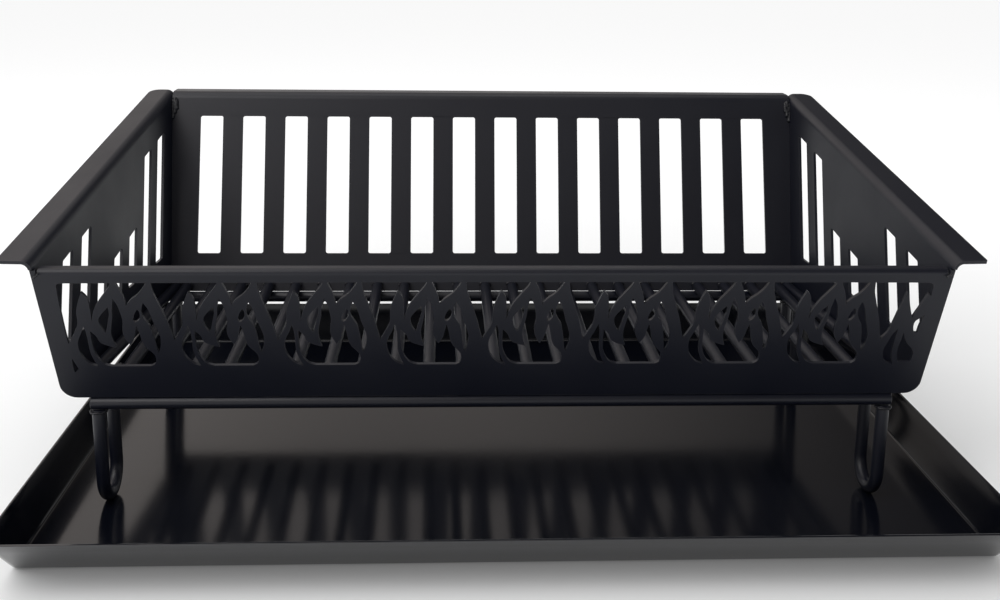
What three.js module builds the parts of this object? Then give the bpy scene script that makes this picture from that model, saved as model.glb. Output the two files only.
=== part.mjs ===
// Log grate: a welded basket of folded, laser-cut sheet on four hairpin legs,
// standing loose in a shallow ash tray.
// Millimetres, +X right, +Y to the rear, +Z up. The origin is the middle of the
// tray's underside, so everything stands on z = 0 and the decorated panel faces -Y.
import * as THREE from 'three';
import { mergeVertices } from 'three/addons/utils/BufferGeometryUtils.js';

// ---------------------------------------------------------------- clearances
const GAP = 0.3;                    // left between pieces that touch or are welded

// -------------------------------------------------------------- basket place
const BASKET_X = -10;               // it stands a little to the left in the tray
const BASKET_FRONT = 129.5;         // from the tray's front rim back to the front panel's foot

// ------------------------------------------------------------------- bar work
const BAR = 10;                     // diameter of all round bar
const FLOOR_BAR_COUNT = 23;         // parallel ones; one more lies along each side panel
const OUTER_BAR_START = 7;          // from a side panel in to the axis of its bar, at the front
const OUTER_BAR_GAP = 0.4;          // between that bar and the next one, at the rear
const CROSSBAR_SETBACK = 3;         // front crossbar's axis behind the front panel's foot
const REAR_CROSSBAR_SETBACK = 1;    // rear crossbar's axis before the back panel's foot
const LEG_GAP = 1.7;                // between a leg's upstanding arm and the last parallel bar
const LEG_SPREAD = 38;              // between the two arms of a hairpin leg
const ARM_PROUD = 8;                // how far a front leg's rear arm stands up past the panels' foot

// --------------------------------------------------------------------- sheets
const SHEET = 2.5;
const PANEL_FOOT = 92;              // height of the panels' lower edges over the feet
const FLOOR_DEPTH = 272;            // between the feet of front and back panel

const FRONT_FOOT_WIDTH = 652;
const FRONT_SPREAD = 7;             // each end of the front panel leans out by this much
const FRONT_RISE = 108;             // upright height of the front panel
const FRONT_LEAN = 30;              // how far its top comes forward
const FRONT_CORNER = 12;
const FRONT_FOLD = 1.2;             // inside radius of the top fold
const FRONT_FLANGE = 6.3;
const FOLD_RELIEF = 1;              // slit between a flange's end and the sheet beside it

const BACK_RISE = 186;
const BACK_LEAN = 65;
const BACK_FOLD = 7;
const BACK_FLANGE = 16;
const BACK_SLOT_COUNT = 14;
const SLOT_WIDTH = 22;
const SLOT_CORNER = 2;
const BACK_SLOT_MARGIN = 24.4;      // from the panel's foot corner to the first slot
const BACK_SLOT_LOW = 35;           // slot ends over the panel's foot, measured upright
const BACK_SLOT_HIGH = 163.5;

const SIDE_TAPER = 18.5;            // each side comes in this much from front to back
const SIDE_FLARE = 0.045;           // outward lean of a side panel, per mm of height
const SIDE_FOLD = 4.8;
const WING_FRONT = 17.5;            // flat width of the folded-out rim, at its two ends
const WING_REAR = 16;
const WING_CORNER = 10;             // rounding of the wing's rear outer corner
const WING_START = -32;             // the wing's two ends, from the front panel's foot
const WING_END = 345;
const WING_KINK = 14;               // below the fold, where the rear edge starts to the wing's end
const WING_FRONT_HEIGHT = 115.6;    // of the wing's top over the panels' foot
const WING_REAR_HEIGHT = BACK_RISE; // the wings end level with the back panel's top
const SIDE_CORNER = 12;             // rounding of a side panel's lower front corner
const SIDE_SLOT_COUNT = 7;
const SIDE_SLOT_WIDTH = 21;
const SIDE_SLOT_REAR = 41;          // from the back panel's foot to the rearmost slot's centre line
const SIDE_SLOT_FRONT = -3;         // the same from the front panel's foot, at that height
const SIDE_SLOT_LEAN = 0.38;        // the slots lean back like the back panel
const SIDE_SLOT_LOW = 37.5;
const SIDE_SLOT_RIM = 27;           // from a slot's top up to the wing
const SIDE_SLOT_SHORT = 75;         // the same for the middle three, under a plain field

// ------------------------------------------------------------------ ash tray
const TRAY_SIDE_ROOM = 30;          // from the front panel's foot corners out to the rim
const TRAY_WIDTH = FRONT_FOOT_WIDTH + 2 * TRAY_SIDE_ROOM;
const TRAY_DEPTH = 523;             // over the rim
const TRAY_HEIGHT = 43;
const TRAY_SHEET = 2;
const TRAY_SIDE_SPLAY = 2.5;        // how far each side wall leans out
const TRAY_REAR_SPLAY = 4.5;
const TRAY_FRONT_SPLAY = 47;        // the front wall is a sloping sweep-out lip
const TRAY_REAR_CORNER = 34;        // corner radii at the floor
const TRAY_FRONT_CORNER = 6;
const TRAY_CORNER_GROWTH = 4;       // added to the front radii on the way up to the rim
const TRAY_CREASE = 3;              // radius of the fold between floor and walls
const TRAY_LIP = 0.6;               // rounding of the rim's cut edge

// ---------------------------------------------------------- the flame window
const WINDOW_TOP = 100.8;           // heights along the leaning panel
const WINDOW_ARCH = 0.9;
const WINDOW_LEFT = 9.6;            // from the panel's foot corners to the window's ends
const WINDOW_RIGHT = 6.7;
const FLAME_COUNT = 8;
const FLAME_WIDTH = 75.06;          // as drawn below, stretched to fill the window
const FLAME_LEAD = 3.6;             // drawn before the first flame
const FLAME_TAIL = 31.6;            // drawn of the ninth
const FLAME_SPLINE_STEPS = 2;       // straight steps between two points of a curve

// --------------------------------------------------------------------- welds
const WELD_LUMP = 2.6;
const WELD_LUMP_LENGTH = 8;
const WELD_RING = 1.8;
const WELD_DOT = 2;

// ----------------------------------------------------------------- materials
const PAINT = { color: 0x17181b, roughness: 0.42, metalness: 0.25 };
const TRAY_PAINT = { color: 0x15161a, roughness: 0.25, metalness: 0.3 };
const WELD_PAINT = { color: 0x1b1b1d, roughness: 0.6, metalness: 0.2 };

const part = new THREE.Group();
const basket = new THREE.Group();
basket.position.set(BASKET_X, BASKET_FRONT - TRAY_DEPTH / 2, TRAY_SHEET + GAP);
part.add(basket);

function addMesh(group, name, geometry, paint) {
  const mesh = new THREE.Mesh(geometry, new THREE.MeshStandardMaterial(paint));
  mesh.name = name;
  group.add(mesh);
  return mesh;
}

// ------------------------------------------------------------------ outlines
const point = (x, y) => new THREE.Vector2(x, y);

// A polygon with each corner replaced by an arc; a radius of 0 keeps the corner.
function roundedPolygon(corners, radii, steps = 4) {
  const result = [];
  corners.forEach((corner, i) => {
    const radius = Array.isArray(radii) ? radii[i] : radii;
    if (radius === 0) {
      result.push(corner.clone());
      return;
    }
    const before = corners.at(i - 1).clone().sub(corner).normalize();
    const after = corners[(i + 1) % corners.length].clone().sub(corner).normalize();
    const half = Math.acos(before.dot(after)) / 2;
    const reach = radius / Math.tan(half);
    const start = corner.clone().addScaledVector(before, reach);
    const end = corner.clone().addScaledVector(after, reach);
    const middle = before.clone().add(after).normalize().multiplyScalar(radius / Math.sin(half));
    const centre = corner.clone().add(middle);
    const from = start.clone().sub(centre).angle();
    let sweep = end.clone().sub(centre).angle() - from;
    if (sweep > Math.PI) sweep -= 2 * Math.PI;
    if (sweep < -Math.PI) sweep += 2 * Math.PI;
    for (let k = 0; k <= steps; k += 1) {
      const angle = from + (sweep * k) / steps;
      result.push(point(centre.x + radius * Math.cos(angle), centre.y + radius * Math.sin(angle)));
    }
  });
  return result;
}

// A closed outline of curved strokes; neighbouring strokes meet at a sharp corner.
function strokedOutline(strokes) {
  const result = [];
  strokes.forEach((stroke) => {
    const points = stroke.map(([x, y]) => point(x, y));
    const curve = new THREE.SplineCurve(points);
    const steps = points.length > 2 ? (points.length - 1) * FLAME_SPLINE_STEPS : 1;
    result.push(...curve.getPoints(steps).slice(0, -1));
  });
  return result;
}

const isClockwise = (loop) => THREE.ShapeUtils.isClockWise(loop);
const turned = (loop, clockwise) => (isClockwise(loop) === clockwise ? loop : loop.slice().reverse());

// ---------------------------------------------------------------- mesh tools
class Skin {
  constructor() {
    this.positions = [];
  }

  triangle(a, b, c) {
    this.positions.push(...a.toArray(), ...b.toArray(), ...c.toArray());
  }

  quad(a, b, c, d) {
    this.triangle(a, b, c);
    this.triangle(a, c, d);
  }

  // One flat face; place() puts a 2-D point in space, back turns the face over.
  face(outline, holes, place, back) {
    const all = [outline, ...holes].flat();
    THREE.ShapeUtils.triangulateShape(outline, holes).forEach(([a, b, c]) => {
      if (back) this.triangle(place(all[a]), place(all[c]), place(all[b]));
      else this.triangle(place(all[a]), place(all[b]), place(all[c]));
    });
  }

  // The cut edge between two faces, starting at the loop's edge number first.
  edge(loop, low, high, first = 0) {
    for (let i = first; i < loop.length; i += 1) {
      const a = loop[i];
      const b = loop[(i + 1) % loop.length];
      this.quad(low(a), low(b), high(b), high(a));
    }
  }

  geometry(flipped = false) {
    const raw = new THREE.BufferGeometry();
    raw.setAttribute('position', new THREE.Float32BufferAttribute(this.positions, 3));
    const merged = mergeVertices(raw, 1e-4);
    if (flipped) turnInsideOut(merged);
    merged.computeVertexNormals();
    return merged;
  }
}

function turnInsideOut(geometry) {
  const index = geometry.index;
  for (let i = 0; i < index.count; i += 3) {
    const second = index.getX(i + 1);
    index.setX(i + 1, index.getX(i + 2));
    index.setX(i + 2, second);
  }
}

function mirrored(geometry) {
  const copy = geometry.clone().applyMatrix4(new THREE.Matrix4().makeScale(-1, 1, 1));
  turnInsideOut(copy);
  copy.computeVertexNormals();
  return copy;
}

// A flat plate with one folded flange, in one piece. The plate's first edge is the
// fold line, with the plate on its left; the flange's outline is given as
// (out from the fold, along it) and starts with the fold line too. The plate fills
// z = -sheet..0 and folds towards +z, or with side -1 the mirror image of that.
function foldedSheet({ plate, holes, flange, radius, angle, side, steps }) {
  const skin = new Skin();
  const start = plate[0];
  const along = plate[1].clone().sub(start);
  const length = along.length();
  along.normalize();
  const out = point(along.y, -along.x);
  const flat = (depth) => (p) => new THREE.Vector3(p.x, p.y, depth);
  const onFold = (depth, turn, reach, run) => {
    const bend = radius - depth;
    const outward = bend * Math.sin(turn) + reach * Math.cos(turn);
    const height = radius - bend * Math.cos(turn) + reach * Math.sin(turn);
    const x = start.x + out.x * outward + along.x * run;
    const y = start.y + out.y * outward + along.y * run;
    return new THREE.Vector3(x, y, height);
  };
  const windows = holes.map((hole) => turned(hole, true));
  skin.face(plate, windows, flat(0), false);
  skin.face(plate, windows, flat(-SHEET), true);
  skin.edge(plate, flat(-SHEET), flat(0), 1);
  windows.forEach((hole) => skin.edge(hole, flat(-SHEET), flat(0)));
  for (let k = 0; k < steps; k += 1) {
    const turnA = (angle * k) / steps;
    const turnB = (angle * (k + 1)) / steps;
    const corner = (depth, turn, run) => onFold(depth, turn, 0, run);
    skin.quad(corner(0, turnA, 0), corner(0, turnB, 0), corner(0, turnB, length), corner(0, turnA, length));
    skin.quad(corner(-SHEET, turnA, length), corner(-SHEET, turnB, length),
      corner(-SHEET, turnB, 0), corner(-SHEET, turnA, 0));
    skin.quad(corner(-SHEET, turnA, 0), corner(-SHEET, turnB, 0), corner(0, turnB, 0), corner(0, turnA, 0));
    skin.quad(corner(0, turnA, length), corner(0, turnB, length),
      corner(-SHEET, turnB, length), corner(-SHEET, turnA, length));
  }
  const leaf = (depth) => (p) => onFold(depth, angle, p.x, p.y);
  skin.face(flange, [], leaf(0), false);
  skin.face(flange, [], leaf(-SHEET), true);
  skin.edge(flange, leaf(-SHEET), leaf(0), 1);
  const geometry = skin.geometry();
  if (side > 0) return geometry;
  geometry.applyMatrix4(new THREE.Matrix4().makeScale(1, 1, -1));
  turnInsideOut(geometry);
  return geometry;
}

function place(mesh, origin, xAxis, yAxis) {
  const zAxis = xAxis.clone().cross(yAxis);
  mesh.setRotationFromMatrix(new THREE.Matrix4().makeBasis(xAxis, yAxis, zAxis));
  mesh.position.copy(origin);
}

// ------------------------------------------------------------------ ash tray
// Rings of equal point count, from the underside up the outside and down the inside.
function trayRing(rise, inward) {
  const up = rise / TRAY_HEIGHT;
  const slope = Math.hypot(TRAY_HEIGHT, TRAY_FRONT_SPLAY) / TRAY_HEIGHT;
  const halfWidth = TRAY_WIDTH / 2 - TRAY_SIDE_SPLAY * (1 - up) - inward;
  const front = -TRAY_DEPTH / 2 + TRAY_FRONT_SPLAY * (1 - up) + inward * slope;
  const rear = TRAY_DEPTH / 2 - TRAY_REAR_SPLAY * (1 - up) - inward;
  const corners = [point(-halfWidth, front), point(halfWidth, front), point(halfWidth, rear),
    point(-halfWidth, rear)];
  const frontCorner = TRAY_FRONT_CORNER + TRAY_CORNER_GROWTH * up - inward;
  const rearCorner = TRAY_REAR_CORNER - inward;
  const loop = roundedPolygon(corners, [frontCorner, frontCorner, rearCorner, rearCorner], 10);
  return loop.map((p) => new THREE.Vector3(p.x, p.y, rise));
}

function ashTray() {
  const crease = (turn, radius, floor, wall) => {
    const rise = floor + radius * (1 - Math.cos(turn));
    return trayRing(rise, wall + radius * (1 - Math.sin(turn)));
  };
  const turns = [0, 0.25, 0.5, 0.75, 1].map((share) => (share * Math.PI) / 2);
  const outerCrease = turns.map((turn) => crease(turn, TRAY_CREASE, 0, 0));
  const innerCrease = turns.map((turn) => crease(turn, TRAY_CREASE - TRAY_SHEET / 2, TRAY_SHEET, TRAY_SHEET));
  const rings = [
    ...outerCrease,
    trayRing(TRAY_HEIGHT - TRAY_LIP, 0),
    trayRing(TRAY_HEIGHT, TRAY_LIP),
    trayRing(TRAY_HEIGHT, TRAY_SHEET - TRAY_LIP),
    trayRing(TRAY_HEIGHT - TRAY_LIP, TRAY_SHEET),
    ...innerCrease.reverse(),
  ];
  const skin = new Skin();
  const count = rings[0].length;
  for (let r = 0; r + 1 < rings.length; r += 1) {
    for (let i = 0; i < count; i += 1) {
      const next = (i + 1) % count;
      skin.quad(rings[r][i], rings[r][next], rings[r + 1][next], rings[r + 1][i]);
    }
  }
  const fan = (ring, down) => {
    for (let i = 1; i + 1 < count; i += 1) {
      if (down) skin.triangle(ring[0], ring[i + 1], ring[i]);
      else skin.triangle(ring[0], ring[i], ring[i + 1]);
    }
  };
  fan(rings[0], true);
  fan(rings.at(-1), false);
  return skin.geometry();
}

addMesh(part, 'ash_tray', ashTray(), TRAY_PAINT);

// -------------------------------------------------------------- shared planes
// Depths are measured back from the front panel's foot, heights up from the panels' foot.
const sideTaper = SIDE_TAPER / FLOOR_DEPTH;
const sideNormal = new THREE.Vector3(1, sideTaper, -SIDE_FLARE).normalize();
const sideAlong = new THREE.Vector3(-sideTaper, 1, 0).normalize();
const sideUp = sideNormal.clone().cross(sideAlong);
const sideOrigin = new THREE.Vector3(FRONT_FOOT_WIDTH / 2, 0, PANEL_FOOT);

// Half the basket's width between the outer or the inner faces of the side panels.
function outerSide(depth, height) {
  return FRONT_FOOT_WIDTH / 2 - sideTaper * depth + SIDE_FLARE * height;
}

function innerSide(depth, height) {
  return outerSide(depth, height) - SHEET / sideNormal.x;
}

// A point of the right side's outer face, in that face's own two directions.
function sidePlanePoint(depth, height) {
  const offset = new THREE.Vector3(outerSide(depth, height), depth, PANEL_FOOT + height).sub(sideOrigin);
  return point(offset.dot(sideAlong), offset.dot(sideUp));
}

const frontLeanAt = (height) => -(FRONT_LEAN * height) / FRONT_RISE;
const backLeanAt = (height) => FLOOR_DEPTH + (BACK_LEAN * height) / BACK_RISE;
const frontFaceDepth = SHEET * Math.hypot(1, FRONT_LEAN / FRONT_RISE);
const backFaceDepth = SHEET * Math.hypot(1, BACK_LEAN / BACK_RISE);
const wingSlope = (WING_REAR_HEIGHT - WING_FRONT_HEIGHT) / (BACK_LEAN + FLOOR_DEPTH - WING_START);
const wingHeightAt = (depth) => WING_FRONT_HEIGHT + wingSlope * (depth - WING_START);

// --------------------------------------------------------------- front panel
const frontLength = Math.hypot(FRONT_RISE, FRONT_LEAN);
const frontUp = new THREE.Vector3(0, -FRONT_LEAN, FRONT_RISE).normalize();
const right = new THREE.Vector3(1, 0, 0);

// Openings of one flame, as (across from the flame's start, up the panel).
const FLAME_GAP = [               // the gap before a flame, round its short tongue
  [[-12.2, WINDOW_TOP], [-11.4, 92.8], [-8.9, 84.2], [-4.2, 68.7], [-1.3, 56.3], [0, 51.3]],
  [[0, 51.3], [4.3, 59.5], [7, 66.1], [8, 79], [13.2, 93.1]],
  [[13.2, 93.1], [16.3, 88.6], [17.4, 81.4], [17.5, 68.7]],
  [[17.5, 68.7], [19.8, 77.3], [23.6, 84.5], [28.5, 91.3], [33.2, 97.7], [34.4, WINDOW_TOP]],
  [[34.4, WINDOW_TOP], [-12.2, WINDOW_TOP]],
];
const FLAME_NOTCH = [             // between the two tall tongues
  [[38, WINDOW_TOP], [40.7, 93.9], [42.4, 88.5], [43.6, 81.9]],
  [[43.6, 81.9], [47.2, 86.5], [51.9, 90.3], [55.8, 94.8], [59.4, WINDOW_TOP]],
  [[59.4, WINDOW_TOP], [38, WINDOW_TOP]],
];
const FLAME_HOLES = [
  [                               // drop under the short tongue, with its crescent foot
    [[10.7, 64.2], [8.4, 58], [5.6, 52], [4.6, 45.4], [6.4, 37], [11.5, 30.6], [17.2, 28.1]],
    [[17.2, 28.1], [14.7, 34.1], [12.8, 40.8], [12.4, 50.1], [12, 58.2], [10.7, 64.2]],
  ],
  [                               // slanted leaf
    [[30.2, 80.4], [25.8, 75.5], [22.4, 70.1], [22.6, 64.9], [24.5, 59.9], [26.3, 58.2]],
    [[26.3, 58.2], [27.6, 63.2], [29.2, 69.5], [30.6, 75.5], [30.2, 80.4]],
  ],
  [                               // the main pan with its two hanging tips
    [[15, 59.7], [18.9, 55.3], [20.8, 50.3], [25, 47.3], [32, 45]],
    [[32, 45], [30.2, 51.9], [29.9, 59.4], [32.1, 70.5], [33, 78.7], [34.7, 87.3]],
    [[34.7, 87.3], [37.2, 82.2], [38.7, 75], [39.4, 68.1], [38.4, 61.2], [39, 54.7], [42.6, 47.2]],
    [[42.6, 47.2], [45.9, 52.8], [47.3, 58.8], [48.8, 64.5]],
    [[48.8, 64.5], [50.3, 57.4], [51.4, 50.9], [53.5, 45.4], [56.6, 41.8], [59, 38.5], [59.8, 34.5],
      [58.8, 30.4], [55.6, 28.4]],
    [[55.6, 28.4], [27, 28.4]],
    [[27, 28.4], [21.6, 30.3], [18, 35], [15.7, 41.5], [15, 50.3], [15, 59.7]],
  ],
  [                               // small oval
    [[50.9, 78.4], [48.4, 74], [47.2, 69.5], [47.8, 67.4], [49.9, 67.9], [52, 71.3], [52.2, 76],
      [50.9, 78.4]],
  ],
  [                               // long curled leaf
    [[55.8, 83.9], [53.9, 78.6], [53.9, 73], [55.9, 68.3], [58.3, 63.8], [59.6, 57.4], [60.6, 49.9],
      [61.2, 43.8], [62.2, 40.1]],
    [[62.2, 40.1], [64.2, 46], [64.9, 53.7], [63.3, 61.1], [61.2, 67.6], [60, 73], [58.2, 79.4],
      [55.8, 83.9]],
  ],
];
// The window's left end cuts the first gap, and its right end the last flame.
const WINDOW_LEFT_GAP = [
  [[-3.6, WINDOW_TOP - 2.5], [-3.6, 82], [-3, 62], [-2, 48.6]],
  [[-2, 48.6], [3.4, 58.5], [6.9, 66.1], [7.9, 78.7], [13, 93.1]],
  [[13, 93.1], [16.3, 88.6], [17.4, 81.4], [17.5, 68.7]],
  [[17.5, 68.7], [19.8, 77.3], [23.6, 84.5], [28.5, 91.3], [33.2, 97.7], [34.4, WINDOW_TOP]],
  [[34.4, WINDOW_TOP], [-1, WINDOW_TOP]],
  [[-1, WINDOW_TOP], [-2.8, WINDOW_TOP - 0.7], [-3.6, WINDOW_TOP - 2.5]],
];
const WINDOW_LEFT_SLIVER = [
  [[-1.2, 35.5], [0.8, 30.4], [2.2, 26]],
  [[2.2, 26], [-0.9, 22.8]],
  [[-0.9, 22.8], [-1.6, 29], [-1.2, 35.5]],
];
const WINDOW_RIGHT_GAP = [
  [[-12.2, WINDOW_TOP], [-11.4, 92.8], [-8.9, 84.2], [-4.2, 68.7], [-1.3, 56.3], [0, 50.6]],
  [[0, 50.6], [5.3, 58.6], [9.5, 76.5], [13.2, 92.5]],
  [[13.2, 92.5], [15.6, 87], [17.4, 80.4], [20.8, 70]],
  [[20.8, 70], [25.4, 81.4], [29.3, 91.2]],
  [[29.3, 91.2], [31.4, 89.2]],
  [[31.4, 89.2], [31.6, 97]],
  [[31.6, 97], [30.6, 99.8], [27.6, WINDOW_TOP]],
  [[27.6, WINDOW_TOP], [-12.2, WINDOW_TOP]],
];
const WINDOW_RIGHT_HOLES = [
  [                               // drop
    [[12, 60], [8.5, 54.8], [6.6, 49], [4.4, 42], [4.7, 35.5], [8, 30], [13.6, 27.4]],
    [[13.6, 27.4], [12.2, 32], [11, 40], [11.4, 50], [12, 60]],
  ],
  [                               // narrow end of the pan
    [[16.7, 56.5], [16.2, 50.4], [15.1, 42.3], [15.5, 35.1], [17.3, 29.6]],
    [[17.3, 29.6], [27, 29.2]],
    [[27, 29.2], [27.4, 39.1], [21, 47.4], [16.7, 56.5]],
  ],
  [                               // leaf
    [[30.1, 72.5], [26.6, 69.4], [23.7, 66.3], [23.4, 61.5], [24.8, 56.3]],
    [[24.8, 56.3], [27.2, 56.3]],
    [[27.2, 56.3], [27.8, 62.5], [30.1, 72.5]],
  ],
];

// The whole pattern is arched by a hair, highest in the middle of the panel.
function shifted(strokes, flame) {
  const drawn = FLAME_LEAD + FLAME_COUNT * FLAME_WIDTH + FLAME_TAIL;
  const stretch = (FRONT_FOOT_WIDTH - WINDOW_LEFT - WINDOW_RIGHT) / drawn;
  const across = (x) => WINDOW_LEFT - FRONT_FOOT_WIDTH / 2 + (FLAME_LEAD + flame * FLAME_WIDTH + x) * stretch;
  const arch = (x) => WINDOW_ARCH * (1 - ((2 * x) / FRONT_FOOT_WIDTH) ** 2);
  return strokes.map((stroke) => stroke.map(([x, y]) => [across(x), y + arch(across(x))]));
}

function flameWindow() {
  const holes = [shifted(WINDOW_LEFT_GAP, 0), shifted(WINDOW_LEFT_SLIVER, 0)];
  for (let i = 0; i < FLAME_COUNT; i += 1) {
    if (i > 0) holes.push(shifted(FLAME_GAP, i));
    holes.push(shifted(FLAME_NOTCH, i));
    FLAME_HOLES.forEach((hole) => holes.push(shifted(hole, i)));
  }
  holes.push(shifted(WINDOW_RIGHT_GAP, FLAME_COUNT));
  WINDOW_RIGHT_HOLES.forEach((hole) => holes.push(shifted(hole, FLAME_COUNT)));
  return holes.map(strokedOutline);
}

function frontPanel() {
  const lean = Math.atan2(FRONT_LEAN, FRONT_RISE);
  const bend = FRONT_FOLD + SHEET;
  const foldLine = (FRONT_RISE - bend * (1 + Math.sin(lean))) / Math.cos(lean);
  const foldHalf = innerSide(0, FRONT_RISE) - GAP;
  const footHalf = FRONT_FOOT_WIDTH / 2;
  const topHalf = footHalf + FRONT_SPREAD;
  // beside the flange the panel stands up to the same height, under the wings
  const earTop = frontLength - SHEET * Math.tan(lean);
  const plate = roundedPolygon([
    point(foldHalf, foldLine),
    point(-foldHalf, foldLine),
    point(-foldHalf, foldLine - FOLD_RELIEF),
    point(-foldHalf - FOLD_RELIEF, foldLine - FOLD_RELIEF),
    point(-foldHalf - FOLD_RELIEF, earTop),
    point(-topHalf, earTop),
    point(-footHalf, 0),
    point(footHalf, 0),
    point(topHalf, earTop),
    point(foldHalf + FOLD_RELIEF, earTop),
    point(foldHalf + FOLD_RELIEF, foldLine - FOLD_RELIEF),
    point(foldHalf, foldLine - FOLD_RELIEF),
  ], [0, 0, 0, 0, 0, 0, FRONT_CORNER, FRONT_CORNER, 0, 0, 0, 0], 6);
  const width = 2 * foldHalf;
  const flange = [point(0, width), point(0, 0), point(FRONT_FLANGE, 0), point(FRONT_FLANGE, width)];
  const angle = Math.PI / 2 + lean;
  return foldedSheet({ plate, holes: flameWindow(), flange, radius: FRONT_FOLD, angle, side: -1, steps: 4 });
}

const front = addMesh(basket, 'front_panel', frontPanel(), PAINT);
const frontInner = frontUp.clone().cross(right).multiplyScalar(SHEET);
place(front, new THREE.Vector3(0, 0, PANEL_FOOT).add(frontInner), right, frontUp);

// --------------------------------------------------------------- side panels
function sidePanel() {
  const slitDepth = frontLeanAt(FRONT_RISE) + frontFaceDepth + GAP;
  const foldHeight = (depth) => wingHeightAt(depth) - SIDE_FOLD - SHEET;
  // the rear edge lies flush with the back panel, and kinks out to the wing's end
  const kinkHeight = foldHeight(WING_END) - WING_KINK;
  const plate = roundedPolygon([
    sidePlanePoint(WING_END, foldHeight(WING_END)),
    sidePlanePoint(WING_START, foldHeight(WING_START)),
    sidePlanePoint(slitDepth, foldHeight(WING_START)),
    sidePlanePoint(frontFaceDepth + GAP, 0),
    sidePlanePoint(FLOOR_DEPTH + backFaceDepth, 0),
    sidePlanePoint(backLeanAt(kinkHeight) + backFaceDepth, kinkHeight),
  ], [0, 0, 0, SIDE_CORNER, 0, 0], 6);
  const holes = [];
  const pitch = (FLOOR_DEPTH - SIDE_SLOT_REAR - SIDE_SLOT_FRONT) / (SIDE_SLOT_COUNT - 1);
  for (let i = 0; i < SIDE_SLOT_COUNT; i += 1) {
    const foot = FLOOR_DEPTH - SIDE_SLOT_REAR - i * pitch;
    const drop = i > 1 && i < 5 ? SIDE_SLOT_SHORT : SIDE_SLOT_RIM;
    const corner = (offset, height) => {
      return sidePlanePoint(foot + offset + SIDE_SLOT_LEAN * height, height);
    };
    // where a leaning slot edge meets the line that runs along under the wing
    const top = (offset) => {
      const height = (wingHeightAt(foot + offset) - drop) / (1 - wingSlope * SIDE_SLOT_LEAN);
      return corner(offset, height);
    };
    const half = SIDE_SLOT_WIDTH / 2;
    const corners = [top(half), top(-half), corner(-half, SIDE_SLOT_LOW), corner(half, SIDE_SLOT_LOW)];
    holes.push(roundedPolygon(corners, SLOT_CORNER, 3));
  }
  const fold = plate[1].clone().sub(plate[0]);
  const outward = point(fold.y, -fold.x).normalize();
  const out = sideAlong.clone().multiplyScalar(outward.x).addScaledVector(sideUp, outward.y);
  const angle = Math.atan2(out.z, -sideNormal.z);
  const length = fold.length();
  const corners = [point(0, length), point(0, 0), point(WING_REAR, 0), point(WING_FRONT, length)];
  const flange = roundedPolygon(corners, [0, 0, WING_CORNER, 1.5], 5);
  return foldedSheet({ plate, holes, flange, radius: SIDE_FOLD, angle, side: 1, steps: 6 });
}

const sideGeometry = sidePanel();
const sideRight = addMesh(basket, 'side_panel_right', sideGeometry, PAINT);
place(sideRight, sideOrigin, sideAlong, sideUp);
const leftGeometry = mirrored(sideGeometry.clone().applyMatrix4(
  new THREE.Matrix4().makeBasis(sideAlong, sideUp, sideNormal),
));
const sideLeft = addMesh(basket, 'side_panel_left', leftGeometry, PAINT);
sideLeft.position.set(-sideOrigin.x, sideOrigin.y, sideOrigin.z);

// ---------------------------------------------------------------- back panel
const backUp = new THREE.Vector3(0, BACK_LEAN, BACK_RISE).normalize();

function backPanel() {
  const lean = Math.atan2(BACK_LEAN, BACK_RISE);
  const bend = BACK_FOLD + SHEET;
  const foldLine = (BACK_RISE - bend * (1 - Math.sin(lean))) / Math.cos(lean);
  const halfAt = (along) => {
    const height = along * Math.cos(lean);
    return innerSide(backLeanAt(height) + backFaceDepth, height) - GAP;
  };
  const topHalf = halfAt(foldLine);
  const footHalf = halfAt(0);
  const plate = [point(topHalf, foldLine), point(-topHalf, foldLine),
    point(-footHalf, 0), point(footHalf, 0)];
  const holes = [];
  const pitch = (2 * (footHalf - BACK_SLOT_MARGIN) - SLOT_WIDTH) / (BACK_SLOT_COUNT - 1);
  for (let i = 0; i < BACK_SLOT_COUNT; i += 1) {
    const middle = (i - (BACK_SLOT_COUNT - 1) / 2) * pitch;
    const left = middle - SLOT_WIDTH / 2;
    const rightEdge = middle + SLOT_WIDTH / 2;
    const low = BACK_SLOT_LOW / Math.cos(lean);
    const high = BACK_SLOT_HIGH / Math.cos(lean);
    const corners = [point(left, low), point(rightEdge, low), point(rightEdge, high), point(left, high)];
    holes.push(roundedPolygon(corners, SLOT_CORNER, 3));
  }
  const width = 2 * topHalf;
  const flange = [point(0, width), point(0, 0), point(BACK_FLANGE, 0), point(BACK_FLANGE, width)];
  const angle = Math.PI / 2 - lean;
  return foldedSheet({ plate, holes, flange, radius: BACK_FOLD, angle, side: -1, steps: 7 });
}

const back = addMesh(basket, 'back_panel', backPanel(), PAINT);
const backOuter = backUp.clone().cross(right).multiplyScalar(SHEET);
place(back, new THREE.Vector3(0, FLOOR_DEPTH, PANEL_FOOT).add(backOuter), right, backUp);

// ------------------------------------------------------------------ bar work
const barRadius = BAR / 2;
const barSides = 12;

// A bar along a straight line between two points, with slightly broken edges.
function straightBar(from, to) {
  const length = from.distanceTo(to);
  const chamfer = 0.6;
  const profile = [point(0, 0), point(barRadius - chamfer, 0), point(barRadius, chamfer),
    point(barRadius, length - chamfer), point(barRadius - chamfer, length), point(0, length)];
  const geometry = new THREE.LatheGeometry(profile, barSides);
  const direction = to.clone().sub(from).normalize();
  const turn = new THREE.Quaternion().setFromUnitVectors(new THREE.Vector3(0, 1, 0), direction);
  return { geometry, turn };
}

function addBar(name, from, to) {
  const { geometry, turn } = straightBar(from, to);
  const mesh = addMesh(basket, name, closed(geometry), PAINT);
  mesh.quaternion.copy(turn);
  mesh.position.copy(from);
}

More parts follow.
